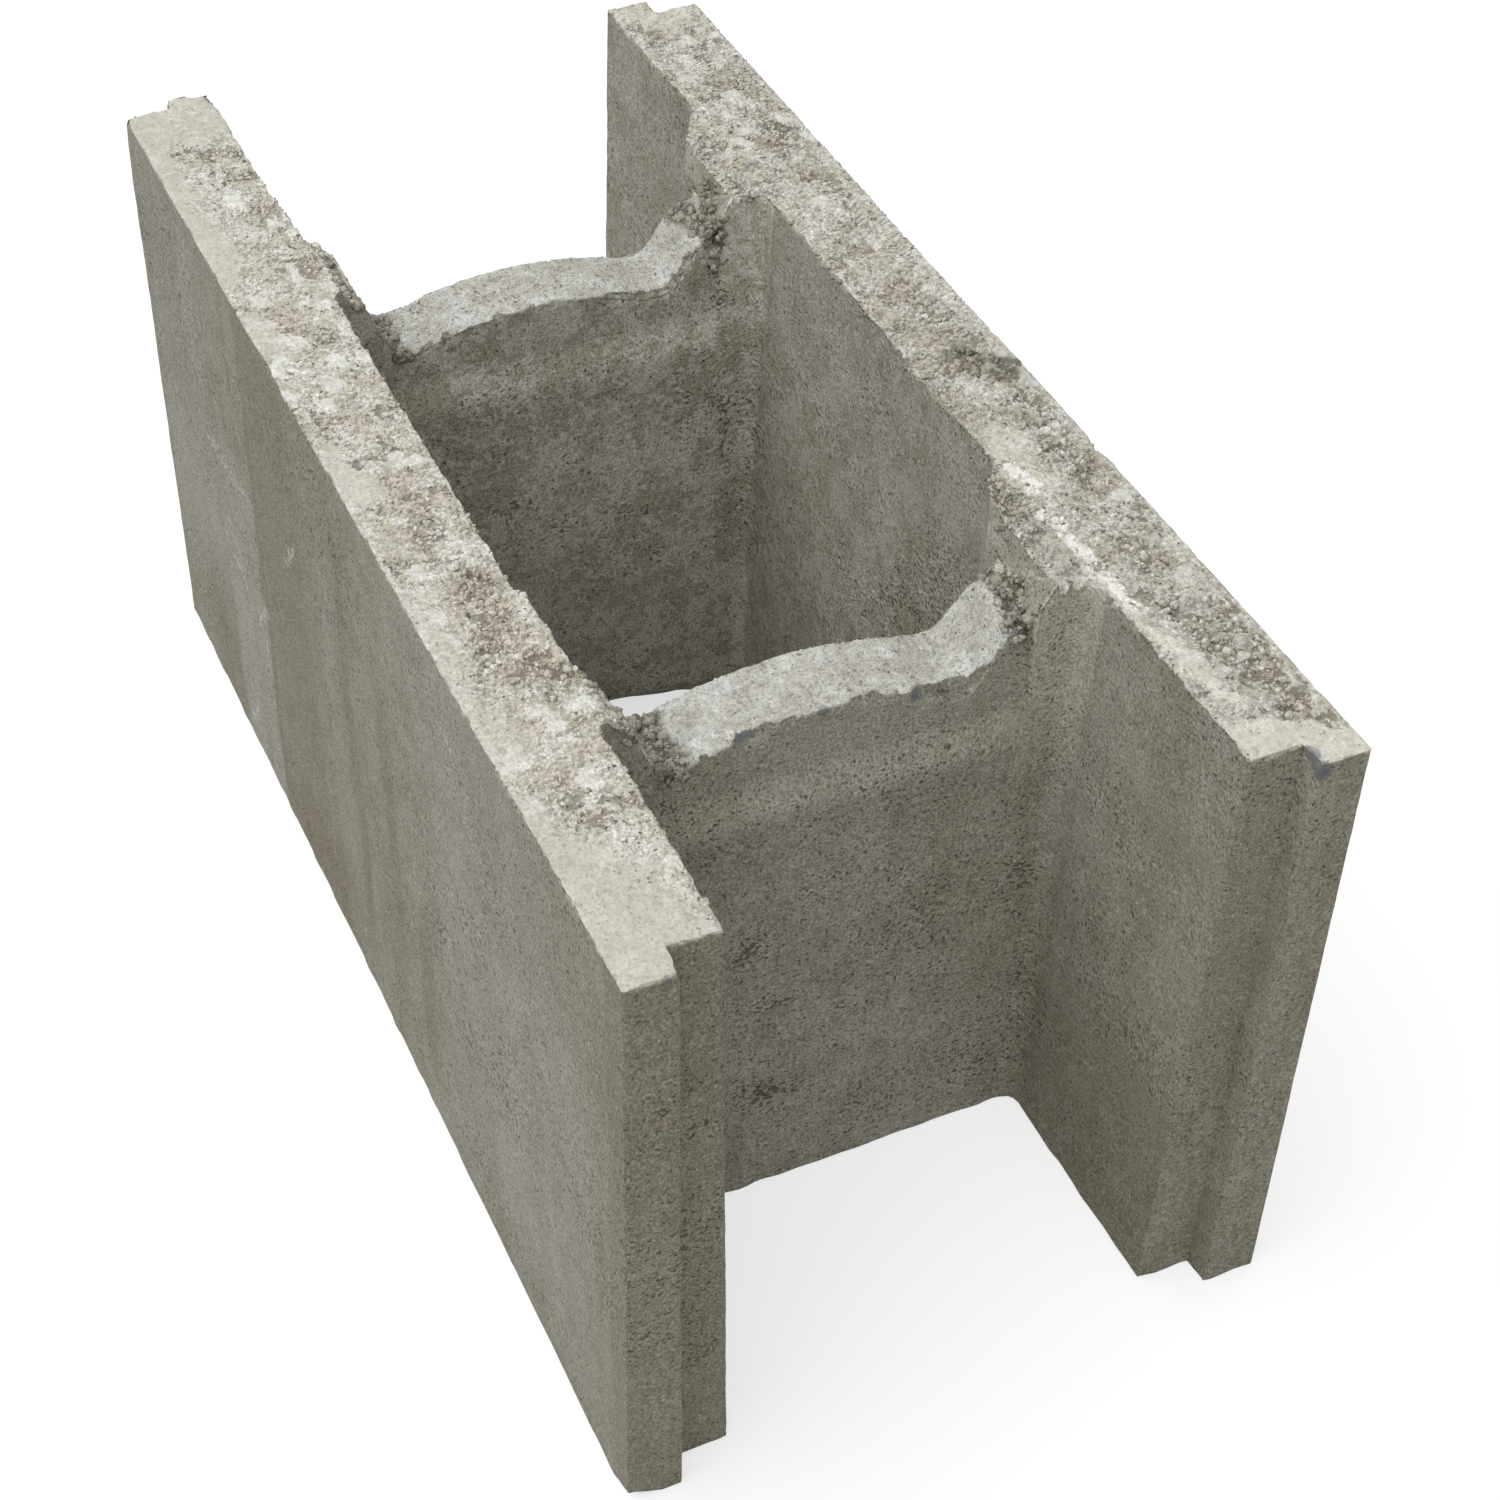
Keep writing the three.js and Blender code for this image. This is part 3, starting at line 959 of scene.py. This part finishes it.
def rim_wear(at, sideways):
    """How deep the wear goes at each rim point: shallow along the walls, ragged along the
    webs' fronts, deeper at chips, and none where torn concrete has no rim. Also returns
    which points are on a web's front rim and on a facet's, and how crisp each one is."""
    x, y, z = at.T
    beside = np.abs(y)
    fine = 0.75 + 0.65 * noise(at, 3.2, 11) + 0.3 * noise(at, 8, 10)
    fine = fine + 1.5 * np.maximum(noise(at, 15, 12) - 0.6, 0)
    coarse = 0.7 + 3.2 * ramp(noise(at, 7, 12), 0.1, 0.4)
    coarse = coarse + 1.8 * ramp(noise(at, 3.2, 9), 0.15, 0.5) + 0.5 * noise(at, 5, 11)
    front = (x > WEB_FACES[0] - 6) | ((x < 0) & (x > WEB_FACES[1] - 6))
    ragged = np.where((beside < 66) & (z > 200) & front, coarse, fine)
    depth = np.where(z > MIDWAY, np.maximum(ragged, 0.4), 1 + 0.7 * noise(at, 8, 13))
    crisp = (y > HALF_WIDTH - 1) * ramp(x, -20, 60)
    depth = depth * (1 - 0.5 * crisp)
    for centre, reach, extra in CHIPPED:
        depth = depth + extra * ramp(reach - np.linalg.norm(at - centre, axis=1), 0, reach)
    torn = (y < 0) & (y > -83) & (z > 225) & (broken_top(x, y) < HEIGHT - 0.5)
    for face in WEB_FACES:
        over = (x < face + 0.1) & (x > face - WEB_THICKNESS - FILLET - 0.1)
        torn |= over & (beside > 66) & (beside < PIER + 0.1) & (z > 230)
    facet = (y > 65) & (y < 77) & (z > 231) & front & (np.abs(sideways) > 0.2)
    return np.where(facet, 0.3, np.where(torn, 0, depth)), front, facet, crisp


def build_block():
    """The casting with its surface. Rims are worn to a chamfer whose depth wanders; tops sink
    by the crust's depth, and what hangs below a rim goes with it; sides swell and sink a
    little; crumbled places are shaken every way. Returns the places, the faces and, for the
    material, shares from 0 to 1 at each point."""
    base, rim, quads, tris = welded(casting())
    normals = corner_normals(base, triangles(quads, tris))
    x, y, z = base.T
    right, on_wall = y >= 0, np.abs(y) > PIER - 0.5

    at = base[rim]
    depth, front, facet, crisp = rim_wear(at, normals[rim, 0])
    distance = np.linalg.norm(base - at, axis=1)
    cut = np.maximum(depth - distance, 0) / math.sqrt(2)
    places = base - normals[rim] * cut[:, None] + upright_edges(base)

    faces_up = (normals[:, 2] > 0.3) & (z > MIDWAY)
    level = ramp(normals[:, 2], 0.3, 0.75)
    wander = 0.2 + 1.6 * noise(at, 4, 96)
    border = ramp(np.where(faces_up, distance, -distance) + wander, -0.7, 0.7) * (at[:, 2] > 200)
    over_wall, over_web = level * on_wall, level * ~on_wall * ramp(-z, -236, -231)
    over_web = over_web * (1 - on_facet(base))
    over_wall = np.where(faces_up, over_wall, over_wall[rim]) * border
    over_web = np.where(faces_up, over_web, over_web[rim])
    # A notch is a deep chip in a web's front rim; the shader darkens it, as painted shade in the
    # recess.
    notch = over_web * np.where(front, 1 - ramp(distance - 0.9 * depth, -0.5, 0.5), 0)
    notch = notch * ramp(depth, 1, 1.8)
    over_web = (over_web - notch) * border
    crumb = crumbled(base) * (1 - on_facet(base, np.where(x < 0, 6.5, 3.5)))
    comb = honeycombed(base) * ~faces_up
    cream = laitance(base) * over_wall

    skin, gap, stone, seam = crusted(base)
    skin = 0.25 * cream + skin * (1 - 0.9 * cream)
    paste = np.abs(fractal(base, 6, 61)) * 0.5 + 0.35 * np.abs(noise(base, 22, 64))
    sink = np.where(on_wall, skin, paste) * faces_up
    sink = sink * (1 - 0.8 * crisp * (1 - ramp(distance, 0, 9)))
    hung = sink[rim] * np.clip(1 - distance / 9, 0, 1)
    sink = np.where(faces_up, sink, hung * (at[:, 2] > MIDWAY))
    swell = 0.35 + 0.25 * noise(base, 55, 67) + 0.14 * fractal(base, 13, 68)
    swell = swell + 0.5 * comb * np.abs(noise(base, 6, 71))
    swell = swell * np.where((y > HALF_WIDTH - 0.5) & (x > -50), 0.3, 1)
    upright = 1 - ramp(np.abs(normals[:, 2]), 0.3, 0.75)
    places = places - normals * (np.maximum(swell, 0.05) * upright)[:, None]
    places[:, 2] -= sink
    shaken = 1.7 * drift(base, 5, 72) + 0.9 * drift(base, 2.6, 76) - (0, 0, 0.9)
    places += crumb[:, None] * shaken
    to_hole = np.linalg.norm(base - HOLE, axis=1) / HOLE_RADIUS
    carve = np.maximum(1 - to_hole ** 2, 0)
    places += HOLE_DEPTH * carve[:, None] * np.array([-0.9, 0, -0.4])
    places[:, 0] -= leaning(base)
    places[:, 1] = np.clip(places[:, 1], MARGIN - HALF_WIDTH, HALF_WIDTH - MARGIN)
    places[:, 2] = np.minimum(places[:, 2], HEIGHT - MARGIN)

    right_tint = 0.3 * cream - 0.3 * (1 - cream) * ramp(x, -40, 40)
    painted_slump_shade = in_plan(flat_wander(base, 2, 6, 98), PAINTED_SLUMP_SHADE)
    shares = {
        "crust": over_wall, "web_top": over_web, "cream": cream, "crumb": crumb,
        "honeycomb": comb, "notch": notch, "slate": slated(base),
        "gap": np.maximum(gap * over_wall * (1 - cream), carve),
        "stone": stone * over_wall * (1 - 0.6 * cream),
        # Painted light inside the cell and beyond the far web, with lime bloom.
        "bloom": painted_light_and_bloom_in_cell(base) * (1 - over_wall) * (1 - over_web),
        "seam": seam * over_wall * (1 - cream),
        "clodded": in_plan(base * (1, 1, 0), CLODDED) * over_wall,
        # A facet's front rim darkened as painted shade, against the highlight that its chamfer
        # catches.
        "paled": np.where(facet & (distance < 0.7), -0.5, paled(base, normals)),
        "torn": along(base, TORN, 81) * ~faces_up,
        "scuff": along(base, SCUFFED, 82),
        # Upright stains on the -Y face, and painted shade at the foot of the +Y wall's inner face.
        "stain": np.maximum(banded(base, STAINS), painted_foot_shade(base, normals)),
        "wash": banded(base, WASHES),
        "white": in_plan(flat_wander(base, 1, 4, 84), WHITENED) * over_wall,
        # Painted shade: the end faces at +X darker, less so at +Y, as the lamps light them less.
        "ends": ramp(x, 236, 239) * (1 - over_wall) * np.where(right, 0.6, 1),
        # A wall top's tint, less the painted shade on its slumped stretches.
        "tint": over_wall * (np.where(right, right_tint, 0.6 - 0.85 * cream) - 0.8 * painted_slump_shade),
        "blotch": 0.5 + 0.18 * fractal(base, 75, 632, 2),
    }
    shares.update(reliefs(shares, 0.5 + 0.2 * noise(base, 30, 99), 0))
    return places, quads, tris, shares


# ---- Loose grains ----

def ball(around, rings):
    """Directions and triangles of a rough ball: two poles, and rings at even angles between
    them, each turned by half a step against the last."""
    down = np.pi * np.arange(1, rings + 1)[:, None] / (rings + 1)
    turn = 2 * np.pi * (np.arange(around) + 0.5 * np.arange(rings)[:, None]) / around
    height = np.broadcast_to(np.cos(down), turn.shape)
    ring = np.stack([np.sin(down) * np.cos(turn), np.sin(down) * np.sin(turn), height], axis=-1)
    points = np.concatenate([ring.reshape(-1, 3), [(0, 0, 1), (0, 0, -1)]])
    here = np.arange(around * rings).reshape(rings, around)
    ahead = np.roll(here, -1, axis=1)
    top, foot = np.full(around, around * rings), np.full(around, around * rings + 1)
    faces = [(top, here[0], ahead[0]), (foot, ahead[-1], here[-1])]
    for k in range(rings - 1):
        faces += [(here[k], here[k + 1], ahead[k]), (ahead[k], here[k + 1], ahead[k + 1])]
    return points, np.concatenate([np.stack(corners, axis=1) for corners in faces])


def strewn(places, corners, density, rng):
    """Random spots on a surface. Each triangle gets its turn in proportion to its area times
    the density of spots, per square millimetre, at its corners. Returns the spots, the
    surface's normals there and the number of a corner of each one's triangle."""
    a, b, c = places[corners].transpose(1, 0, 2)
    cross = np.cross(b - a, c - a)
    area = 0.5 * np.linalg.norm(cross, axis=1)
    expected = area * density[corners].mean(axis=1)
    picked = rng.choice(len(corners), int(expected.sum()), p=expected / expected.sum())
    u, v = rng.uniform(0, 1, (2, len(picked), 1))
    u, v = np.where(u + v > 1, 1 - u, u), np.where(u + v > 1, 1 - v, v)
    spots = a[picked] + u * (b - a)[picked] + v * (c - a)[picked]
    return spots, cross[picked] / (2 * area[picked, None]), corners[picked, 0]


def lumps(spots, normals, radii, lift, shape, rng):
    """Rough balls on the spots. Each is a ball whose points stand at random distances,
    stretched along three axes at right angles that are turned at random, and set along the
    normal by a share of its radius. None passes the casting's own outline."""
    directions, faces = shape
    first = rng.normal(size=(len(spots), 3))
    first /= np.linalg.norm(first, axis=1)[:, None]
    second = np.cross(first, rng.normal(size=(len(spots), 3)))
    second /= np.linalg.norm(second, axis=1)[:, None]
    axes = np.stack([first, second, np.cross(first, second)], axis=1)
    body = directions * rng.uniform(0.76, 1.18, (len(spots), len(directions), 1))
    body = body * rng.uniform(0.75, 1.25, (len(spots), 1, 3))
    body = (body @ axes) * radii[:, None, None]
    middle = spots + normals * (lift * radii)[:, None]
    reach = np.abs(body).max(axis=1)
    limit = np.array([HALF_LENGTH, HALF_WIDTH, HEIGHT]) - GRAIN_MARGIN - reach
    middle = np.clip(middle, -limit, limit)
    places = (middle[:, None] + body).reshape(-1, 3)
    first_points = len(directions) * np.arange(len(spots))[:, None, None]
    return places, (faces[None] + first_points).reshape(-1, 3)


def in_scene(name, data):
    """A new object in the scene, at the origin."""
    made = bpy.data.objects.new(name, data)
    bpy.context.scene.collection.objects.link(made)
    return made


def to_object(name, places, quads, tris, shares):
    """A smooth mesh object, with its shares as attributes of its points."""
    mesh = bpy.data.meshes.new(name)
    corners = (places / MILLIMETRES).astype(np.float32)
    mesh.from_pydata(corners, [], quads.tolist() + tris.tolist(), shade_flat=False)
    mesh.validate()
    for share, values in shares.items():
        attribute = mesh.attributes.new(share, "FLOAT", "POINT")
        attribute.data.foreach_set("value", values.astype(np.float32))
    return in_scene(name, mesh)


# ---- Finishes ----

class Value:
    """A node's output. Arithmetic on it adds Math nodes."""

    def __init__(self, nodes, socket):
        self.nodes, self.socket = nodes, socket

    def joined(self, operation, first, second):
        return self.nodes.node("Math", {"operation": operation}, {0: first, 1: second})

    def __add__(self, other):
        return self.joined("ADD", self, other)

    def __sub__(self, other):
        return self.joined("SUBTRACT", self, other)

    def __rsub__(self, other):
        return self.joined("SUBTRACT", other, self)

    def __mul__(self, other):
        return self.joined("MULTIPLY", self, other)

    __radd__, __rmul__ = __add__, __mul__


class Nodes:
    """A node tree, and ways to add to it."""

    def __init__(self, tree):
        self.tree = tree

    def node(self, kind, settings={}, sockets={}, output=0):
        """Adds a node, sets it up, then fills its sockets with values or links."""
        made = self.tree.nodes.new("ShaderNode" + kind)
        for setting, value in settings.items():
            setattr(made, setting, value)
        for socket, value in sockets.items():
            self.fill(made.inputs[socket], value)
        return Value(self, made.outputs[output])

    def fill(self, socket, value):
        if isinstance(value, Value):
            self.tree.links.new(value.socket, socket)
        else:
            socket.default_value = value

    def surface(self, output, shader):
        """Makes a shader the surface of the tree's output node."""
        self.fill(self.tree.nodes[output].inputs["Surface"], shader)


class Finish(Nodes):
    """A material and the nodes of its shader. Sizes are in millimetres."""

    def __init__(self, name):
        self.material = bpy.data.materials.new(name)
        self.material.use_nodes = True
        super().__init__(self.material.node_tree)
        self.shader = self.tree.nodes["Principled BSDF"]
        self.place = self.node("TexCoord", output="Object")

    def shares(self, names):
        """Some of the mesh's own shares."""
        return [self.node("Attribute", {"attribute_name": n}, output="Fac") for n in names.split()]

    def stretched(self, x, y, z):
        """Object coordinates scaled along each axis."""
        return self.node("VectorMath", {"operation": "MULTIPLY"}, {0: self.place, 1: (x, y, z)})

    def grain(self, size, detail=2, rough=0.6, place=None):
        """Noise from 0 to 1 with features of a size."""
        sockets = {"Vector": place or self.place, "Scale": MILLIMETRES / size}
        return self.node("TexNoise", {}, {**sockets, "Detail": detail, "Roughness": rough})

    def pebbles(self, size):
        """Cells of a size: the distance to their seeds, and two random numbers of each."""
        sockets = {"Vector": self.place, "Scale": MILLIMETRES / size}
        away = self.node("TexVoronoi", {}, sockets, "Distance")
        colour = Value(self, away.socket.node.outputs["Color"])
        split = self.node("SeparateColor", {}, {0: colour}, "Red")
        return away, split, Value(self, split.socket.node.outputs["Green"])

    def rise(self, value, low, high):
        """A smooth rise from 0 at low to 1 at high."""
        sockets = {"Value": value, "From Min": low, "From Max": high}
        return self.node("MapRange", {"interpolation_type": "SMOOTHSTEP"}, sockets)

    def blend(self, share, first, second):
        """The first colour changed to the second by a share."""
        return self.node("Mix", {"data_type": "RGBA"}, {0: share, 6: first, 7: second}, 2)

    def layered(self, colour, *layers):
        """A colour under others, each laid on by its own share."""
        for share, over in layers:
            colour = self.blend(share, colour, over)
        return colour

    def scaled(self, colour, value):
        """A colour made lighter or darker by a factor."""
        return self.node("VectorMath", {"operation": "SCALE"}, {0: colour, 3: value})

    def wear(self, colour, roughness, specular, height=None):
        """Sets the shader's colour, roughness and specular level, and a relief in
        millimetres."""
        self.fill(self.shader.inputs["Base Color"], colour)
        self.fill(self.shader.inputs["Roughness"], roughness)
        self.fill(self.shader.inputs["Specular IOR Level"], specular)
        if height:
            sockets = {"Strength": 1, "Distance": 1 / MILLIMETRES, "Height": height}
            self.fill(self.shader.inputs["Normal"], self.node("Bump", {}, sockets))


def rgb(red, green, blue):
    return (red, green, blue, 1)


def concrete_finish():
    """Cast concrete: grey paste with fine sand, soft brown streaks down the sides, dark pin
    holes in drifts; on the walls' tops pale grains in a brown bed, pressed pale clods and a
    cream skin."""
    finish = Finish("concrete")
    rise, blend, layered, scaled = finish.rise, finish.blend, finish.layered, finish.scaled
    crust, web_top, cream, crumb, gap, stone, white = finish.shares(
        "crust web_top cream crumb gap stone white")
    pitted, whole, drifts, specked, sanded, bedded, blotch = finish.shares(
        "pitted whole drifts specked sanded bedded blotch")
    tint, grain, bloom, paled, clodded, slate = finish.shares(
        "tint grain bloom paled clodded slate")
    notch, stain, wash, ends, seam, scuff = finish.shares("notch stain wash ends seam scuff")
    speck = finish.grain(0.9, 1, 0.5)
    sand = finish.grain(3)
    mottle = finish.grain(15, 3)
    streak = finish.grain(24, place=finish.stretched(1, 1, 0.05))
    pore = finish.grain(2.2, place=finish.stretched(1, 1, 1.6))
    bits, bit_tone, bit_kind = finish.pebbles(1.6)
    grit = sand - 0.5

    def ragged(share, amount, low, high):
        """A share drawn to an edge that the sand roughens by an amount."""
        return rise(share + amount * grit, low, high)

    stone = ragged(stone, 0.6, 0.38, 0.58)
    crust, web_top = (ragged(1.8 * share, 2, 0.4, 0.9) for share in (crust, web_top))
    tops = crust + web_top
    side = layered(
        rgb(0.308, 0.291, 0.233),
        (rise(blotch + 0.5 * mottle, 0.6, 0.92), rgb(0.356, 0.345, 0.289)),
        (0.5 * rise(streak, 0.52, 0.72), rgb(0.286, 0.262, 0.196)),
        (0.3 * rise(streak, 0.47, 0.3), rgb(0.394, 0.385, 0.334)),
        # Brown upright stains on the -Y face, and painted shade at the foot of the +Y wall's inner
        # face at the near end.
        (0.6 * stain, rgb(0.248, 0.222, 0.160)),
        (0.42 * wash, rgb(0.455, 0.450, 0.420)),
        (0.6 * ragged(scuff, 2, 0.35, 0.75), rgb(0.580, 0.575, 0.545)),
        # The end faces at +X darker and browner, as painted shade.
        (0.5 * ends, rgb(0.245, 0.215, 0.155)),
        # Pale lime bloom in patches, on top of the cell's painted light.
        (bloom * (0.1 + 0.6 * ragged(mottle, 0.8, 0.46, 0.54)), rgb(0.440, 0.436, 0.404)),
    )
    top = blend(rise(mottle, 0.42, 0.6), rgb(0.548, 0.520, 0.450), rgb(0.606, 0.600, 0.552))
    over = blend(rise(mottle, 0.38, 0.62), rgb(0.485, 0.474, 0.420), rgb(0.565, 0.564, 0.535))
    colour = layered(
        # The side colour is lightened by painted light beside the torn shoulders and in the cell,
        # and darkened by painted shade in chipped notches.
        scaled(side, 1 + 0.4 * paled + 0.24 * bloom - 0.4 * notch),
        (crust, top),
        (web_top, over),
        ((0.25 + 0.25 * clodded) * gap, rgb(0.345, 0.300, 0.228)),
        (0.8 * cream, rgb(0.630, 0.612, 0.532)),
        (0.75 * stone, rgb(0.660, 0.655, 0.615)),
        # Crumbled paste: the crumbs paler, and the block's surface under them near black, as
        # painted shade between them.
        (0.8 * crumb, blend(grain, rgb(0.120, 0.098, 0.070), rgb(0.322, 0.300, 0.246))),
        (ragged(white, 0.8, 0.35, 0.75), rgb(0.800, 0.790, 0.750)),
    )

    middle = rise(bits, 0.48, 0.3)
    loosely = crust * (1 - 0.8 * cream) * (1 - 0.85 * stone)
    tone = (speck - 0.5) * (1.8 - 0.9 * tops - 0.4 * cream)
    tone = tone + (0.55 + 0.35 * tops - 0.4 * cream) * grit + 0.3 * (mottle - 0.5) + 1
    tone = tone + 0.4 * loosely * (bit_tone - 0.5) + 0.06 * loosely + 0.2 * tint
    sunk = loosely * rise(bits, 0.42, 0.8)
    split = rise(seam + 0.9 * sand, 0.87, 1.07)
    rust = rise(bit_tone, 0.955, 0.965) * middle
    pits = rise(pore - pitted, 0.180, 0.130) * whole
    pin = rise(bit_kind - 0.3 * (drifts - 0.5), 0.065, 0.055) * middle * (1 - 0.8 * tops)
    fleck = rise(bit_kind, 0.88, 0.91) * middle
    slate = slate * ragged(slate, 1, 0.38, 0.5)
    dark = rgb(0.082, 0.062, 0.040)
    colour = layered(
        scaled(colour, tone),
        (0.38 * sunk, rgb(0.275, 0.225, 0.160)),
        (0.6 * split, rgb(0.170, 0.138, 0.098)),
        (0.45 * rust, rgb(0.360, 0.215, 0.130)),
        (0.75 * pits, dark),
        (0.7 * pin, dark),
        (0.35 * fleck, rgb(0.640, 0.630, 0.590)),
        (0.9 * slate, rgb(0.140, 0.150, 0.168)),
    )
    height = specked * speck + sanded * sand - bedded * bits - 0.8 * pits - 0.4 * split
    finish.wear(colour, 0.93, 0.25, height)
    return finish.material


# ---- The pieces ----

places, quads, tris, shares = build_block()
block = to_object("worn_block", places, quads, tris, shares)
block.data.set_sharp_from_angle(angle=math.radians(50))

# Grains and crumbs of the mix that stand in the tops: piece, density per square millimetre
# at each point, radii from and to, lift as a share of the radius, and the ball.
crust, cream, clodded = shares["crust"], shares["cream"], shares["clodded"]
bare = crust * (1 - cream) * (1 - shares["stone"]) * (1 - np.minimum(shares["white"], 1))
grainy = (0.26 + 0.06 * shares["gap"] + 0.06 * clodded) * bare + 0.03 * crust * cream
crumbly = 0.18 * shares["crumb"] * (places[:, 2] > 200) + (0.004 + 0.035 * clodded) * bare
STREWN = (
    ("left_grains", grainy * (places[:, 1] < 0), 0.45, 1.05, 0.05, (5, 2), 91),
    ("right_grains", grainy * (places[:, 1] > 0), 0.45, 1.05, 0.05, (5, 2), 92),
    ("web_grains", 0.32 * shares["web_top"], 0.32, 0.7, -0.1, (5, 2), 94),
    ("crumbs", crumbly, 0.8, 2.3, 0, (7, 4), 93),
)
# The shares of the block that its grains take over.
TAKEN_OVER = "crust web_top cream crumb stone white clodded honeycomb torn blotch".split()
pieces = [block]
for name, density, low, high, lift, shape, seed in STREWN:
    rng = np.random.default_rng(seed)
    spots, facing, near = strewn(places, triangles(quads, tris), density, rng)
    radii = low + (high - low) * rng.uniform(0, 1, len(spots)) ** 1.7
    lump_places, lump_tris = lumps(spots, facing, radii, lift, ball(*shape), rng)
    each = len(lump_places) // len(spots)
    lump_shares = {share: np.repeat(shares[share][near], each) for share in TAKEN_OVER}
    lump_shares.update(reliefs(lump_shares, np.repeat(shares["drifts"][near], each), 1))
    lump_shares["tint"] = np.repeat(shares["tint"][near] + rng.uniform(-1, 1, len(spots)), each)
    lump_shares["grain"] = np.ones(len(lump_places))
    pieces.append(to_object(name, lump_places, np.zeros((0, 4), int), lump_tris, lump_shares))
concrete = concrete_finish()
for piece in pieces:
    piece.data.materials.append(concrete)
    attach(piece, "root")
    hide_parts("shuttering_block")


# ---- Floor, light, camera ----

def floor_finish():
    """A pale floor that looks white where no shadow lies on it. What sees it directly, in a
    gloss or through glass sees it lit and glowing; other light finds it plain."""
    finish = Finish("floor")
    finish.wear(rgb(0.5, 0.5, 0.49), 1, 0)
    camera, gloss, glass = (
        finish.node("LightPath", output=f"Is {ray} Ray")
        for ray in ("Camera", "Glossy", "Transmission")
    )
    seen = finish.rise(camera + gloss + glass, 0, 1)
    lit = finish.node("BsdfDiffuse", {}, {"Color": rgb(0.42, 0.42, 0.42)})
    glow = finish.node("Emission", {}, {"Color": rgb(1, 1, 1), "Strength": 0.66})
    white = finish.node("AddShader", {}, {0: lit, 1: glow})
    plain = Value(finish, finish.shader.outputs[0])
    finish.surface("Material Output", finish.node("MixShader", {}, {0: seen, 1: plain, 2: white}))
    return finish.material


floor_mesh = bpy.data.meshes.new("floor")
floor_mesh.from_pydata([(-6, -6, 0), (6, -6, 0), (6, 6, 0), (-6, 6, 0)], [], [(0, 1, 2, 3)])
floor_mesh.materials.append(floor_finish())
floor = in_scene("floor", floor_mesh)

# The sky is white to the camera and an even, dimmer light to everything else.
world = bpy.data.worlds.new("sky")
bpy.context.scene.world = world
world.use_nodes = True
sky = Nodes(world.node_tree)
dim, white = (
    sky.node("Background", {}, {"Color": rgb(1, 1, 1), "Strength": level}) for level in (0.28, 1)
)
seen = sky.node("LightPath", output="Is Camera Ray")
sky.surface("World Output", sky.node("MixShader", {}, {0: seen, 1: dim, 2: white}))

# Soft lamps: where each stands, how much light it gives a surface that faces it, and how
# wide it looks, in degrees.
LAMPS = {
    "overhead": ((-0.12, -0.45, 0.88), 0.66, 60),
    "window": ((0.75, -0.15, 0.64), 0.17, 40),
    "backlight": ((-0.45, 0.75, 0.48), 0.18, 40),
}
for name, (direction, level, width) in LAMPS.items():
    lamp_data = bpy.data.lights.new(name, "SUN")
    lamp_data.energy = math.pi * level
    lamp_data.angle = math.radians(width)
    lamp = in_scene(name, lamp_data)
    lamp.rotation_euler = Vector(direction).to_track_quat("Z", "Y").to_euler()

camera_data = bpy.data.cameras.new("camera")
camera_data.sensor_width = 36
camera_data.lens = 67.49
camera_data.shift_x = 0.0237
camera_data.shift_y = -0.0356
camera = in_scene("camera", camera_data)
camera.rotation_euler = tuple(math.radians(a) for a in (47.920, -0.819, 65.692))
camera.location = (0.7176, -0.3127, 0.8134)
bpy.context.scene.camera = camera
bpy.context.scene.view_settings.view_transform = "Standard"
